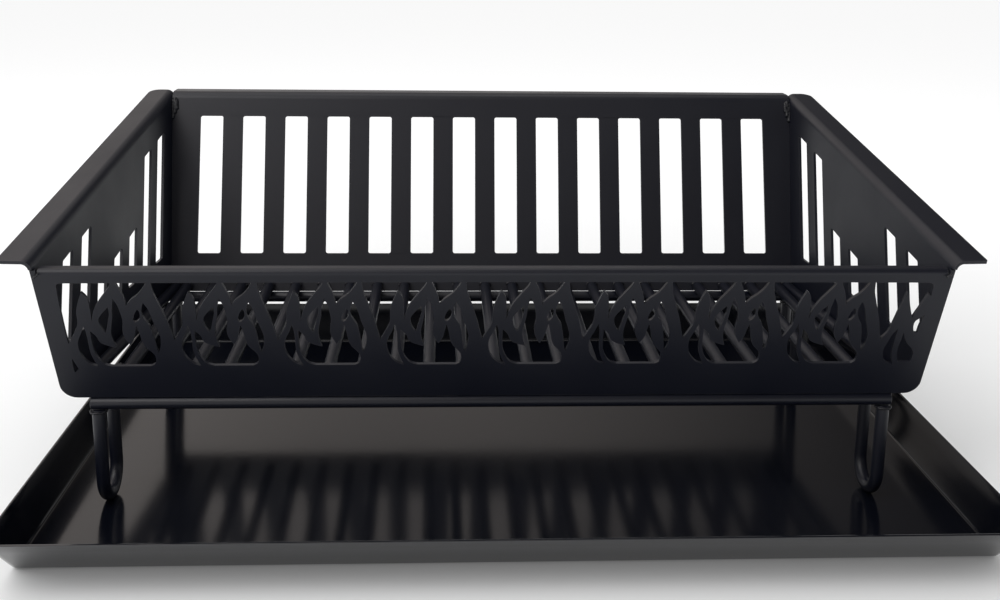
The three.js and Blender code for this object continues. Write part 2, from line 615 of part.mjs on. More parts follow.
// Welds the seam of a turned shape and drops the zero-size triangles on its axis.
function closed(geometry) {
  geometry.deleteAttribute('normal');
  geometry.deleteAttribute('uv');
  const merged = mergeVertices(geometry, 1e-4);
  const kept = [];
  for (let i = 0; i < merged.index.count; i += 3) {
    const [a, b, c] = [0, 1, 2].map((k) => merged.index.getX(i + k));
    if (a !== b && b !== c && c !== a) kept.push(a, b, c);
  }
  merged.setIndex(kept);
  merged.computeVertexNormals();
  return merged;
}

const crossbarHeight = PANEL_FOOT - GAP - barRadius;
const floorBarHeight = PANEL_FOOT + barRadius;
const outerBarFront = innerSide(0, 0) - OUTER_BAR_START;
const outerBarRear = innerSide(FLOOR_DEPTH, 0) - GAP - barRadius;
const lastBar = outerBarRear - OUTER_BAR_GAP - BAR;
const barPitch = lastBar / ((FLOOR_BAR_COUNT - 1) / 2);
const legX = lastBar + BAR + LEG_GAP;
const crossbarHalf = legX + barRadius;
const frontCrossbarY = CROSSBAR_SETBACK;
const rearCrossbarY = FLOOR_DEPTH - REAR_CROSSBAR_SETBACK;
addBar('crossbar_front', new THREE.Vector3(-crossbarHalf, frontCrossbarY, crossbarHeight),
  new THREE.Vector3(crossbarHalf, frontCrossbarY, crossbarHeight));
addBar('crossbar_rear', new THREE.Vector3(-crossbarHalf, rearCrossbarY, crossbarHeight),
  new THREE.Vector3(crossbarHalf, rearCrossbarY, crossbarHeight));

// The floor bars lie on the crossbars, from panel to panel.
const barFront = frontFaceDepth + GAP;
const barRear = FLOOR_DEPTH - GAP;
const barCount = FLOOR_BAR_COUNT + 2;
for (let i = 0; i < barCount; i += 1) {
  const middle = (barCount - 1) / 2;
  const step = i - middle;
  const outer = Math.abs(step) === middle;
  const frontX = outer ? Math.sign(step) * outerBarFront : step * barPitch;
  const rearX = outer ? Math.sign(step) * outerBarRear : step * barPitch;
  const name = `floor_bar_${String(i + 1).padStart(2, '0')}`;
  addBar(name, new THREE.Vector3(frontX, barFront, floorBarHeight),
    new THREE.Vector3(rearX, barRear, floorBarHeight));
}

// --------------------------------------------------------------- hairpin legs
const outerArmTop = crossbarHeight - barRadius - GAP;
const bendRadius = LEG_SPREAD / 2;
const bendHeight = bendRadius + barRadius;

// The round bar of a leg: down from the crossbar, round the bend, and up again.
function hairpin(innerArmTop) {
  const stations = [{ y: 0, z: outerArmTop, turn: 0 }];
  const turnSteps = 12;
  for (let k = 0; k <= turnSteps; k += 1) {
    const turn = (Math.PI * k) / turnSteps;
    const y = bendRadius * (1 - Math.cos(turn));
    stations.push({ y, z: bendHeight - bendRadius * Math.sin(turn), turn });
  }
  stations.push({ y: LEG_SPREAD, z: innerArmTop, turn: Math.PI });
  const rings = stations.map(({ y, z, turn }) => {
    return Array.from({ length: barSides }, (unused, i) => {
      const angle = (2 * Math.PI * i) / barSides;
      const inPlane = barRadius * Math.sin(angle);
      return new THREE.Vector3(barRadius * Math.cos(angle), y - inPlane * Math.cos(turn),
        z - inPlane * Math.sin(turn));
    });
  });
  const skin = new Skin();
  for (let r = 0; r + 1 < rings.length; r += 1) {
    for (let i = 0; i < barSides; i += 1) {
      const next = (i + 1) % barSides;
      skin.quad(rings[r][i], rings[r][next], rings[r + 1][next], rings[r + 1][i]);
    }
  }
  for (let i = 1; i + 1 < barSides; i += 1) {
    skin.triangle(rings[0][0], rings[0][i + 1], rings[0][i]);
    skin.triangle(rings.at(-1)[0], rings.at(-1)[i], rings.at(-1)[i + 1]);
  }
  return skin.geometry();
}

// A raised fillet round the top of an arm, just under the bar it is welded to.
function ringWeld() {
  const inner = barRadius + GAP;
  const profile = [
    point(inner, -1.2 * WELD_RING),
    point(inner + 0.7 * WELD_RING, -0.7 * WELD_RING),
    point(inner + WELD_RING, 0),
    point(inner, 0),
    point(inner, -1.2 * WELD_RING),
  ];
  const geometry = closed(new THREE.LatheGeometry(profile, barSides));
  return geometry.applyMatrix4(new THREE.Matrix4().makeRotationX(Math.PI / 2));
}

function lump(radiusX, radiusY, radiusZ) {
  return closed(new THREE.SphereGeometry(1, 12, 8)).scale(radiusX, radiusY, radiusZ);
}

function addWeld(name, geometry, x, y, z) {
  const mesh = addMesh(basket, `weld_${name}`, geometry, WELD_PAINT);
  mesh.position.set(x, y, z);
  return mesh;
}

[-1, 1].forEach((side) => {
  const hand = side < 0 ? 'left' : 'right';
  const x = side * legX;
  // A front leg's rear arm stands up between two floor bars, with a bead on either side.
  const frontLeg = addMesh(basket, `leg_front_${hand}`, hairpin(PANEL_FOOT + ARM_PROUD), PAINT);
  frontLeg.position.set(x, frontCrossbarY, 0);
  addWeld(`leg_front_${hand}`, ringWeld(), x, frontCrossbarY, outerArmTop - GAP);
  const half = (legX - lastBar) / 2;
  const reach = Math.sqrt((barRadius + WELD_DOT + GAP) ** 2 - half ** 2);
  [-1, 1].forEach((step) => {
    addWeld(`arm_${step < 0 ? 'fore' : 'aft'}_${hand}`, lump(WELD_DOT, WELD_DOT, WELD_DOT),
      side * (lastBar + half), frontCrossbarY + LEG_SPREAD + step * reach, floorBarHeight + reach);
  });
  // A rear leg's front arm meets the outer floor bar from below.
  const rearLeg = addMesh(basket, `leg_rear_${hand}`, hairpin(PANEL_FOOT - GAP), PAINT);
  rearLeg.position.set(x, rearCrossbarY, 0);
  rearLeg.rotation.z = Math.PI;
  addWeld(`leg_rear_${hand}`, ringWeld(), x, rearCrossbarY, outerArmTop - GAP);
  addWeld(`arm_rear_${hand}`, ringWeld(), x, rearCrossbarY - LEG_SPREAD, PANEL_FOOT - 2 * GAP);
  // Lumps at the top corners, behind the back panel and on the front panel's face.
  const away = WELD_LUMP + GAP;
  const backHeight = BACK_RISE - 16;
  const backWeld = addWeld(`back_corner_${hand}`, lump(WELD_LUMP, WELD_LUMP, WELD_LUMP_LENGTH),
    side * (innerSide(backLeanAt(backHeight), backHeight) - away),
    backLeanAt(backHeight) + backFaceDepth + away * backUp.z,
    PANEL_FOOT + backHeight - away * backUp.y);
  backWeld.rotation.x = -Math.atan2(BACK_LEAN, BACK_RISE);
  const frontHeight = FRONT_RISE - 4;
  const frontWeld = addWeld(`front_corner_${hand}`, lump(WELD_LUMP, WELD_LUMP / 2, WELD_LUMP),
    side * (innerSide(0, frontHeight) + 0.5),
    frontLeanAt(frontHeight) - (WELD_LUMP / 2 + GAP) * frontUp.z,
    PANEL_FOOT + frontHeight + (WELD_LUMP / 2 + GAP) * frontUp.y);
  frontWeld.rotation.x = Math.atan2(FRONT_LEAN, FRONT_RISE);
});

export default part;
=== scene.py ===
# Log grate of black painted steel in its ash tray, dressed for the studio.
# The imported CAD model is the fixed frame; sheets, bars and welds get finer meshes here.
import math

import bmesh
import bpy
from mathutils import Matrix, Vector


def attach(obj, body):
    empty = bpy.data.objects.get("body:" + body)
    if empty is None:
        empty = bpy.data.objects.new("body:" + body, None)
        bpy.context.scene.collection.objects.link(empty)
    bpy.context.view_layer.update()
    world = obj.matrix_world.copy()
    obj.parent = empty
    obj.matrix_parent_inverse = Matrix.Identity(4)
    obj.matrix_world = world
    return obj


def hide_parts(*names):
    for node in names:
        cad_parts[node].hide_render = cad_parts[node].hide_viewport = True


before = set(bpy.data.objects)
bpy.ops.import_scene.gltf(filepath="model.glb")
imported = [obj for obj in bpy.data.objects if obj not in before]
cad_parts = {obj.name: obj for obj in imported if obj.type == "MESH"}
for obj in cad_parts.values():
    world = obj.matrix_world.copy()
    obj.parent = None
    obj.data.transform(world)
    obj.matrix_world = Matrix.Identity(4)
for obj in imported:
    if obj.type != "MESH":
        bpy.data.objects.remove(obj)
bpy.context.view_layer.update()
print("frame loaded,", len(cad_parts), "nodes")

mm = 0.001

# The basket's own origin: middle of the front panel's foot, on the tray's floor.
basketPlace = {"x": -10.0, "y": -132.0, "z": 2.3}


# --- small helpers
def basketPoint(x, y, z):
    # Basket millimetres to metres in the row frame.
    place = basketPlace
    return Vector(((x + place["x"]) * mm, (y + place["y"]) * mm, (z + place["z"]) * mm))


def linearColour(hexCode):
    # sRGB hex to the linear colour that the shader sockets want.
    channels = [int(hexCode[i:i + 2], 16) / 255 for i in (1, 3, 5)]
    return [c / 12.92 if c <= 0.04045 else ((c + 0.055) / 1.055) ** 2.4 for c in channels] + [1.0]


def addNode(tree, kind, place, inputs=None, **settings):
    # One node. An input is a plain value, a socket, or a node that gives its first output.
    node = tree.nodes.new(kind)
    node.location = (place[0] * 200, place[1] * -160)
    for name, value in settings.items():
        setattr(node, name, value)
    for name, value in (inputs or {}).items():
        if isinstance(value, bpy.types.Node):
            value = value.outputs[0]
        if isinstance(value, bpy.types.NodeSocket):
            tree.links.new(value, node.inputs[name])
        else:
            node.inputs[name].default_value = value
    return node


def mathNode(tree, place, operation, first, second=None, clamp=False):
    inputs = {0: first} if second is None else {0: first, 1: second}
    return addNode(tree, "ShaderNodeMath", place, inputs, operation=operation, use_clamp=clamp)


def remap(tree, place, source, span, toLow=0.0, toHigh=1.0, kind="LINEAR"):
    # Takes the span of a value to another one.
    return addNode(tree, "ShaderNodeMapRange", place, {
        "Value": source, "From Min": span[0], "From Max": span[1],
        "To Min": toLow, "To Max": toHigh,
    }, interpolation_type=kind)


def emptyTree(owner):
    owner.use_nodes = True
    owner.node_tree.nodes.clear()
    return owner.node_tree


def finishPiece(obj, nodes, body="basket"):
    # The piece stands for its CAD nodes, if it has any, and moves with their body.
    if nodes:
        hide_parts(*nodes)
    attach(obj, body)


def linkObject(name, data):
    obj = bpy.data.objects.new(name, data)
    bpy.context.scene.collection.objects.link(obj)
    return obj


def meshObject(name, vertices, faces, material, edges=()):
    mesh = bpy.data.meshes.new(name)
    mesh.from_pydata([tuple(v) for v in vertices], edges, faces)
    if material:
        mesh.materials.append(material)
    return linkObject(name, mesh)


def lineObject(name, lines):
    # Open lines through basket points in millimetres, for a node tree to work on.
    vertices, edges = [], []
    for line in lines:
        first = len(vertices)
        vertices += [basketPoint(*p) for p in line]
        edges += [(first + i, first + i + 1) for i in range(len(line) - 1)]
    return meshObject(name, vertices, [], None, edges)


def cleanMesh(obj, distance=0.00001):
    # Merges doubles and turns all faces outwards.
    work = bmesh.new()
    work.from_mesh(obj.data)
    bmesh.ops.remove_doubles(work, verts=work.verts, dist=distance)
    bmesh.ops.dissolve_degenerate(work, edges=work.edges, dist=distance / 2)
    bmesh.ops.recalc_face_normals(work, faces=work.faces)
    work.to_mesh(obj.data)
    work.free()


def shadeByAngle(obj, degrees):
    # Smooth faces, with sharp edges where two faces meet at more than the angle.
    work = bmesh.new()
    work.from_mesh(obj.data)
    for face in work.faces:
        face.smooth = True
    for edge in work.edges:
        edge.smooth = len(edge.link_faces) == 2 and edge.calc_face_angle(0) < math.radians(degrees)
    work.to_mesh(obj.data)
    work.free()


def bakeModifiers(obj):
    # The evaluated shape becomes the object's plain mesh and the modifiers go.
    graph = bpy.context.evaluated_depsgraph_get()
    graph.update()
    mesh = bpy.data.meshes.new_from_object(obj.evaluated_get(graph))
    obj.modifiers.clear()
    old = obj.data
    obj.data = mesh
    bpy.data.meshes.remove(old)


def quarterTurns(steps):
    return [math.pi / 2 * k / steps for k in range(steps + 1)]


# --- materials
# Satin stove paint, sprayed on mild steel and stoved: a near-black body colour, tinted blue to
# paint in the cool tone of the shade, under a thin film with a fine orange peel and grain,
# rubbed a little along its edges.


satinPaint = {
    # near-black, with a painted blue cast for the cool tone of the shade
    "body": "#080b17",
    "worn": "#303033",
    "roughness": 0.42,
    "roughnessSpread": 0.10,
    "peelSize": 2.6,            # mm, width of one bump of the orange peel
    "peelDepth": 0.018,         # mm
    "grainSize": 0.7,           # mm, drawn coarser than the real pigment so that it shows
    "grainDepth": 0.012,
    "cloudSize": 90.0,          # mm, slow change of gloss over a sheet
    "index": 1.42,
}


# The tray has a second, glossier coat: clearer reflections, fewer bumps.
glossPaint = {
    # near-black, with a painted blue cast for the cool tone of the shade
    "body": "#090b12",
    "worn": "#222327",
    "roughness": 0.13,
    "roughnessSpread": 0.05,
    "peelSize": 7.0,
    "peelDepth": 0.012,
    "grainSize": 1.4,
    "grainDepth": 0.003,
    "cloudSize": 140.0,
    "index": 1.45,
}


# Paint over a weld bead lies thicker and duller, over spatter and fine ripples.
weldPaint = {
    # near-black, with a painted blue cast for the cool tone of the shade
    "body": "#0d0f16",
    "worn": "#26262a",
    "roughness": 0.44,
    "roughnessSpread": 0.12,
    "peelSize": 1.2,
    "peelDepth": 0.05,
    "grainSize": 0.5,
    "grainDepth": 0.03,
    "cloudSize": 30.0,
    "index": 1.45,
}


# How the noises of all three run, and how far their edges are rubbed.
paintWork = {
    "cloudNoise": (4.0, 0.55),  # detail and roughness of each noise
    "grainNoise": (2.0, 0.6),
    "peelNoise": (1.5, 0.5),
    "noiseSpan": (0.3, 0.7),    # where nearly all values of a noise lie
    "edgeReach": 1.2,           # mm from an edge that are rubbed
    "edgeSamples": 4,
    "edgeSpan": (0.99, 0.80),   # cosine of blurred and true normal, from unworn to worn
    "edgeMost": 0.7,
    "patchSpan": (0.42, 0.62),  # cloud values between which the rubbing comes through
    "patchLeast": 0.2,
}


def paintMaterial(name, finish):
    material = bpy.data.materials.new(name)
    tree = emptyTree(material)
    spot = addNode(tree, "ShaderNodeTexCoord", (-6, 0)).outputs["Object"]

    def noise(row, kind):
        # Object coordinates are metres, so a bump of 1 mm needs a scale of 1000.
        detail, roughness = paintWork[kind + "Noise"]
        return addNode(tree, "ShaderNodeTexNoise", (-5, row), {
            "Vector": spot, "Scale": 1000 / finish[kind + "Size"], "Detail": detail,
            "Roughness": roughness,
        })

    cloud, grain, peel = noise(0, "cloud"), noise(1, "grain"), noise(2, "peel")

    # edges catch a little wear: the bevel-blurred normal differs from the true one there
    bevel = addNode(tree, "ShaderNodeBevel", (-5, 3), {"Radius": paintWork["edgeReach"] * mm},
                    samples=paintWork["edgeSamples"])
    plain = addNode(tree, "ShaderNodeNewGeometry", (-5, 4)).outputs["Normal"]
    same = addNode(tree, "ShaderNodeVectorMath", (-4, 3), {0: bevel, 1: plain},
                   operation="DOT_PRODUCT").outputs["Value"]
    rub = remap(tree, (-3, 3), same, paintWork["edgeSpan"], 0.0, paintWork["edgeMost"])
    patchy = remap(tree, (-3, 4), cloud, paintWork["patchSpan"], paintWork["patchLeast"])
    wear = mathNode(tree, (-2, 3), "MULTIPLY", rub, patchy)
    # the body colour carries the painted blue cast of the shade; rubbed edges get the worn colour
    tint = addNode(tree, "ShaderNodeMix", (-1, 0), {
        "Factor": wear, 6: linearColour(finish["body"]), 7: linearColour(finish["worn"]),
    }, data_type="RGBA")

    span, spread = paintWork["noiseSpan"], finish["roughnessSpread"]
    slow = remap(tree, (-2, 1), cloud, span, finish["roughness"] - spread / 2,
                 finish["roughness"] + spread / 2)
    fine = remap(tree, (-2, 2), grain, span, -spread / 4, spread / 4)
    dull = mathNode(tree, (-1, 1), "ADD", slow, fine, clamp=True)

    peelBump = addNode(tree, "ShaderNodeBump", (-2, 5), {
        "Height": peel, "Strength": 1.0, "Distance": finish["peelDepth"] * mm,
    })
    grainBump = addNode(tree, "ShaderNodeBump", (-1, 5), {
        "Height": grain, "Strength": 1.0, "Distance": finish["grainDepth"] * mm,
        "Normal": peelBump,
    })
    surface = addNode(tree, "ShaderNodeBsdfPrincipled", (0, 0), {
        "Base Color": tint.outputs[2], "Roughness": dull, "Normal": grainBump,
        "IOR": finish["index"],
    })
    addNode(tree, "ShaderNodeOutputMaterial", (2, 0), {"Surface": surface})
    return material


satinBlack = paintMaterial("satin stove paint on steel", satinPaint)
glossBlack = paintMaterial("gloss stove paint on steel", glossPaint)
weldBlack = paintMaterial("stove paint over weld", weldPaint)
print("materials ready")


# --- folded sheet work
sheetWork = {
    "gauge": 2.5,
    "foot": 92.0,               # height of the panels' lower edges over the feet
    "depth": 272.0,             # between the feet of front and back panel
    "footWidth": 652.0,
    "gap": 0.3,
    "seam": 0.3,                # how far a sheet runs into the one it is welded to
    "cutEdge": 0.35,            # rounding of every laser-cut edge, with the paint on it
    "cutSegments": 2,
    "sharpAngle": 50,           # degrees between two faces that make an edge sharp
    "fuse": 0.002,              # corners nearer than this are one
    "cornerSteps": 7,
    "foldSteps": 14,
}
gauge, gap, seam, foot = (sheetWork[name] for name in ("gauge", "gap", "seam", "foot"))
hands = ((1, "right"), (-1, "left"))


def roundedLoop(corners, radii, steps=sheetWork["cornerSteps"]):
    # A polygon with each corner replaced by an arc; a radius of 0 keeps the corner.
    result = []
    for i, corner in enumerate(corners):
        radius = radii[i] if isinstance(radii, list) else radii
        here = Vector(corner)
        if radius == 0:
            result.append(here)
            continue
        before = (Vector(corners[i - 1]) - here).normalized()
        after = (Vector(corners[(i + 1) % len(corners)]) - here).normalized()
        half = math.acos(max(-1.0, min(1.0, before.dot(after)))) / 2
        centre = here + (before + after).normalized() * (radius / math.sin(half))
        start = here + before * (radius / math.tan(half)) - centre
        end = here + after * (radius / math.tan(half)) - centre
        fromAngle = math.atan2(start.y, start.x)
        sweep = math.atan2(end.y, end.x) - fromAngle
        sweep = (sweep + math.pi) % (2 * math.pi) - math.pi
        for k in range(steps + 1):
            angle = fromAngle + sweep * k / steps
            result.append(centre + Vector((math.cos(angle), math.sin(angle))) * radius)
    return result


def around(loop):
    # Each point of a closed loop with the next one.
    return list(zip(loop, loop[1:] + loop[:1]))


def directed(loop, clockwise):
    area = sum(a.x * b.y - b.x * a.y for a, b in around(loop)) / 2
    return loop if (area < 0) == clockwise else loop[::-1]


def flatFaces(work, outline, holes, place):
    # One flat face with holes, cut into triangles by the constrained filler.
    edges = []
    for loop in [outline] + holes:
        ring = [work.verts.new(place(p)) for p in loop]
        edges += [work.edges.new(pair) for pair in around(ring)]
    bmesh.ops.triangle_fill(work, use_beauty=True, use_dissolve=False, edges=edges)


def foldedSheet(name, plate, holes, flange, radius, angle, side, toRow):
    # A flat plate with one folded flange. The plate's first edge is the fold line, with the
    # plate on its left; the flange is given as (out from the fold, along it).
    steps = sheetWork["foldSteps"]
    work = bmesh.new()
    start = plate[0]
    along = plate[1] - start
    length = along.length
    along.normalize()
    out = Vector((along.y, -along.x))
    windows = [directed(hole, True) for hole in holes]

    def onPlate(depth, p):
        return toRow(p.x, p.y, depth * side)

    def onFold(depth, turn, reach, run):
        bend = radius - depth
        outward = bend * math.sin(turn) + reach * math.cos(turn)
        height = radius - bend * math.cos(turn) + reach * math.sin(turn)
        x = start.x + out.x * outward + along.x * run
        y = start.y + out.y * outward + along.y * run
        return toRow(x, y, height * side)

    def onFlange(depth, p):
        return onFold(depth, angle, p.x, p.y)

    def quad(*corners):
        work.faces.new([work.verts.new(c) for c in corners])

    def cutEdge(place, a, b):
        # The narrow face between the sheet's two sides.
        quad(place(-gauge, a), place(-gauge, b), place(0, b), place(0, a))

    for depth in (0, -gauge):
        flatFaces(work, plate, windows, lambda p: onPlate(depth, p))
        flatFaces(work, flange, [], lambda p: onFlange(depth, p))
    # the first edges of plate and flange lie on the fold and have no cut face
    for a, b in around(plate)[1:] + [pair for hole in windows for pair in around(hole)]:
        cutEdge(onPlate, a, b)
    for a, b in around(flange)[1:]:
        cutEdge(onFlange, a, b)
    for k in range(steps):
        low, high = angle * k / steps, angle * (k + 1) / steps
        for depth in (0, -gauge):
            quad(onFold(depth, low, 0, 0), onFold(depth, high, 0, 0),
                 onFold(depth, high, 0, length), onFold(depth, low, 0, length))
        for run in (0, length):
            cutEdge(lambda depth, turn: onFold(depth, turn, 0, run), low, high)
    bmesh.ops.remove_doubles(work, verts=work.verts, dist=sheetWork["fuse"] * mm)
    bmesh.ops.recalc_face_normals(work, faces=work.faces)
    mesh = bpy.data.meshes.new(name)
    work.to_mesh(mesh)
    work.free()
    mesh.materials.append(satinBlack)
    obj = linkObject(name, mesh)
    roundCutEdges(obj)
    return obj


def roundCutEdges(obj):
    # Breaks every sharp edge of the sheet by the same small radius.
    bevel = obj.modifiers.new("cut edges", "BEVEL")
    bevel.width = sheetWork["cutEdge"] * mm
    bevel.segments = sheetWork["cutSegments"]
    bevel.limit_method = "ANGLE"
    bevel.angle_limit = math.radians(sheetWork["sharpAngle"])
    bevel.use_clamp_overlap = True
    bevel.miter_outer = "MITER_SHARP"
    bakeModifiers(obj)
    shadeByAngle(obj, sheetWork["sharpAngle"])
    level = obj.modifiers.new("flat faces", "WEIGHTED_NORMAL")
    level.mode = "FACE_AREA"
    level.keep_sharp = True
    bakeModifiers(obj)


def straightFlange(reach, run):
    return [Vector(p) for p in [(0, run), (0, 0), (reach, 0), (reach, run)]]


def leaningPlane(up, depth):
    # Takes points of a panel that stands on its foot line and leans along up.
    across = Vector((1, 0, 0))
    origin = Vector((0, depth, foot)) + up.cross(across) * gauge

    def toRow(x, y, z):
        return basketPoint(*(origin + Vector((x, 0, 0)) + up * y + across.cross(up) * z))

    return toRow


# Shared planes: depths run back from the front panel's foot, heights up from the panels' foot.
sidePlane = {"taper": 18.5 / 272.0, "flare": 0.045}
sideNormal = Vector((1, sidePlane["taper"], -sidePlane["flare"])).normalized()
sideAlong = Vector((-sidePlane["taper"], 1, 0)).normalized()
sideUp = sideNormal.cross(sideAlong)
sideOrigin = Vector((sheetWork["footWidth"] / 2, 0, foot))


def outerSide(depth, height):
    return sheetWork["footWidth"] / 2 - sidePlane["taper"] * depth + sidePlane["flare"] * height


def innerSide(depth, height):
    return outerSide(depth, height) - gauge / sideNormal.x


def sidePlanePoint(depth, height):
    offset = Vector((outerSide(depth, height), depth, foot + height)) - sideOrigin
    return Vector((offset.dot(sideAlong), offset.dot(sideUp)))


# --- front panel
frontSheet = {
    "rise": 108.0,
    "lean": 30.0,
    "spread": 7.0,
    "corner": 12.0,
    "fold": 1.2,
    "flange": 6.3,
    "relief": 1.0,
    "windowTop": 100.8,
    "windowArch": 0.9,
    "windowLeft": 9.6,
    "windowRight": 6.7,
    "flameCount": 8,
    "flameWidth": 75.06,
    "flameLead": 3.6,
    "flameTail": 31.6,
    "curveSteps": 5,
}
frontUp = Vector((0, -frontSheet["lean"], frontSheet["rise"])).normalized()
frontFaceDepth = gauge * math.hypot(1, frontSheet["lean"] / frontSheet["rise"])
top = frontSheet["windowTop"]

# Openings of one flame, as (across from the flame's start, up the panel). Each stroke starts
# where the one before it ends.
flameGap = [
    [(-11.4, 92.8), (-8.9, 84.2), (-4.2, 68.7), (-1.3, 56.3), (0, 51.3)],
    [(4.3, 59.5), (7, 66.1), (8, 79), (13.2, 93.1)],
    [(16.3, 88.6), (17.4, 81.4), (17.5, 68.7)],
    [(19.8, 77.3), (23.6, 84.5), (28.5, 91.3), (33.2, 97.7), (34.4, top)],
    [(-12.2, top)],
]
flameNotch = [
    [(40.7, 93.9), (42.4, 88.5), (43.6, 81.9)],
    [(47.2, 86.5), (51.9, 90.3), (55.8, 94.8), (59.4, top)],
    [(38, top)],
]
flameHoles = [
    [   # drop under the short tongue, with its crescent foot
        [(8.4, 58), (5.6, 52), (4.6, 45.4), (6.4, 37), (11.5, 30.6), (17.2, 28.1)],
        [(14.7, 34.1), (12.8, 40.8), (12.4, 50.1), (12, 58.2), (10.7, 64.2)],
    ],
    [   # slanted leaf
        [(25.8, 75.5), (22.4, 70.1), (22.6, 64.9), (24.5, 59.9), (26.3, 58.2)],
        [(27.6, 63.2), (29.2, 69.5), (30.6, 75.5), (30.2, 80.4)],
    ],
    [   # the main pan with its two hanging tips
        [(18.9, 55.3), (20.8, 50.3), (25, 47.3), (32, 45)],
        [(30.2, 51.9), (29.9, 59.4), (32.1, 70.5), (33, 78.7), (34.7, 87.3)],
        [(37.2, 82.2), (38.7, 75), (39.4, 68.1), (38.4, 61.2), (39, 54.7),
         (42.6, 47.2)],
        [(45.9, 52.8), (47.3, 58.8), (48.8, 64.5)],
        [(50.3, 57.4), (51.4, 50.9), (53.5, 45.4), (56.6, 41.8), (59, 38.5),
         (59.8, 34.5), (58.8, 30.4), (55.6, 28.4)],
        [(27, 28.4)],
        [(21.6, 30.3), (18, 35), (15.7, 41.5), (15, 50.3), (15, 59.7)],
    ],
    [   # small oval
        [(48.4, 74), (47.2, 69.5), (47.8, 67.4), (49.9, 67.9), (52, 71.3),
         (52.2, 76), (50.9, 78.4)],
    ],
    [   # long curled leaf
        [(53.9, 78.6), (53.9, 73), (55.9, 68.3), (58.3, 63.8), (59.6, 57.4),
         (60.6, 49.9), (61.2, 43.8), (62.2, 40.1)],
        [(64.2, 46), (64.9, 53.7), (63.3, 61.1), (61.2, 67.6), (60, 73),
         (58.2, 79.4), (55.8, 83.9)],
    ],
]
# The window's left end cuts the first gap, and its right end the last flame.
leftEnd = [
    [
        [(-3.6, 82), (-3, 62), (-2, 48.6)],
        [(3.4, 58.5), (6.9, 66.1), (7.9, 78.7), (13, 93.1)],
        *flameGap[2:4],
        [(-1, top)],
        [(-2.8, top - 0.7), (-3.6, top - 2.5)],
    ],
    [
        [(0.8, 30.4), (2.2, 26)],
        [(-0.9, 22.8)],
        [(-1.6, 29), (-1.2, 35.5)],
    ],
]
rightEnd = [
    [
        [(-11.4, 92.8), (-8.9, 84.2), (-4.2, 68.7), (-1.3, 56.3), (0, 50.6)],
        [(5.3, 58.6), (9.5, 76.5), (13.2, 92.5)],
        [(15.6, 87), (17.4, 80.4), (20.8, 70)],
        [(25.4, 81.4), (29.3, 91.2)],
        [(31.4, 89.2)],
        [(31.6, 97)],
        [(30.6, 99.8), (27.6, top)],
        [(-12.2, top)],
    ],
    [   # drop
        [(8.5, 54.8), (6.6, 49), (4.4, 42), (4.7, 35.5), (8, 30), (13.6, 27.4)],
        [(12.2, 32), (11, 40), (11.4, 50), (12, 60)],
    ],
    [   # narrow end of the pan
        [(16.2, 50.4), (15.1, 42.3), (15.5, 35.1), (17.3, 29.6)],
        [(27, 29.2)],
        [(27.4, 39.1), (21, 47.4), (16.7, 56.5)],
    ],
    [   # leaf
        [(26.6, 69.4), (23.7, 66.3), (23.4, 61.5), (24.8, 56.3)],
        [(27.2, 56.3)],
        [(27.8, 62.5), (30.1, 72.5)],
    ],
]


def splinePoint(points, share):
    # A smooth curve through all the points, evenly in their number.
    reach = share * (len(points) - 1)
    at = min(int(reach), len(points) - 2)
    t = reach - at
    p1, p2 = points[at], points[at + 1]
    p0 = points[at - 1] if at > 0 else p1
    p3 = points[at + 2] if at + 2 < len(points) else p2
    v0, v1 = (p2 - p0) * 0.5, (p3 - p1) * 0.5
    return ((p1 * 2 - p2 * 2 + v0 + v1) * t ** 3 + (p2 * 3 - p1 * 3 - v0 * 2 - v1) * t ** 2
            + v0 * t + p1)


def strokedLoop(strokes, flame):
    # A closed outline of curved strokes; neighbouring strokes meet at a sharp corner.
    lead, pitch, width = frontSheet["flameLead"], frontSheet["flameWidth"], sheetWork["footWidth"]
    drawn = lead + frontSheet["flameCount"] * pitch + frontSheet["flameTail"]
    stretch = (width - frontSheet["windowLeft"] - frontSheet["windowRight"]) / drawn
    result = []
    begin = strokes[-1][-1]
    for stroke in strokes:
        points = []
        for x, y in [begin] + stroke:
            run = lead + flame * pitch + x
            across = frontSheet["windowLeft"] - width / 2 + run * stretch
            arch = frontSheet["windowArch"] * (1 - (2 * across / width) ** 2)
            points.append(Vector((across, y + arch)))
        begin = stroke[-1]
        steps = (len(points) - 1) * frontSheet["curveSteps"] if len(points) > 2 else 1
        result += [splinePoint(points, k / steps) for k in range(steps)]
    return result


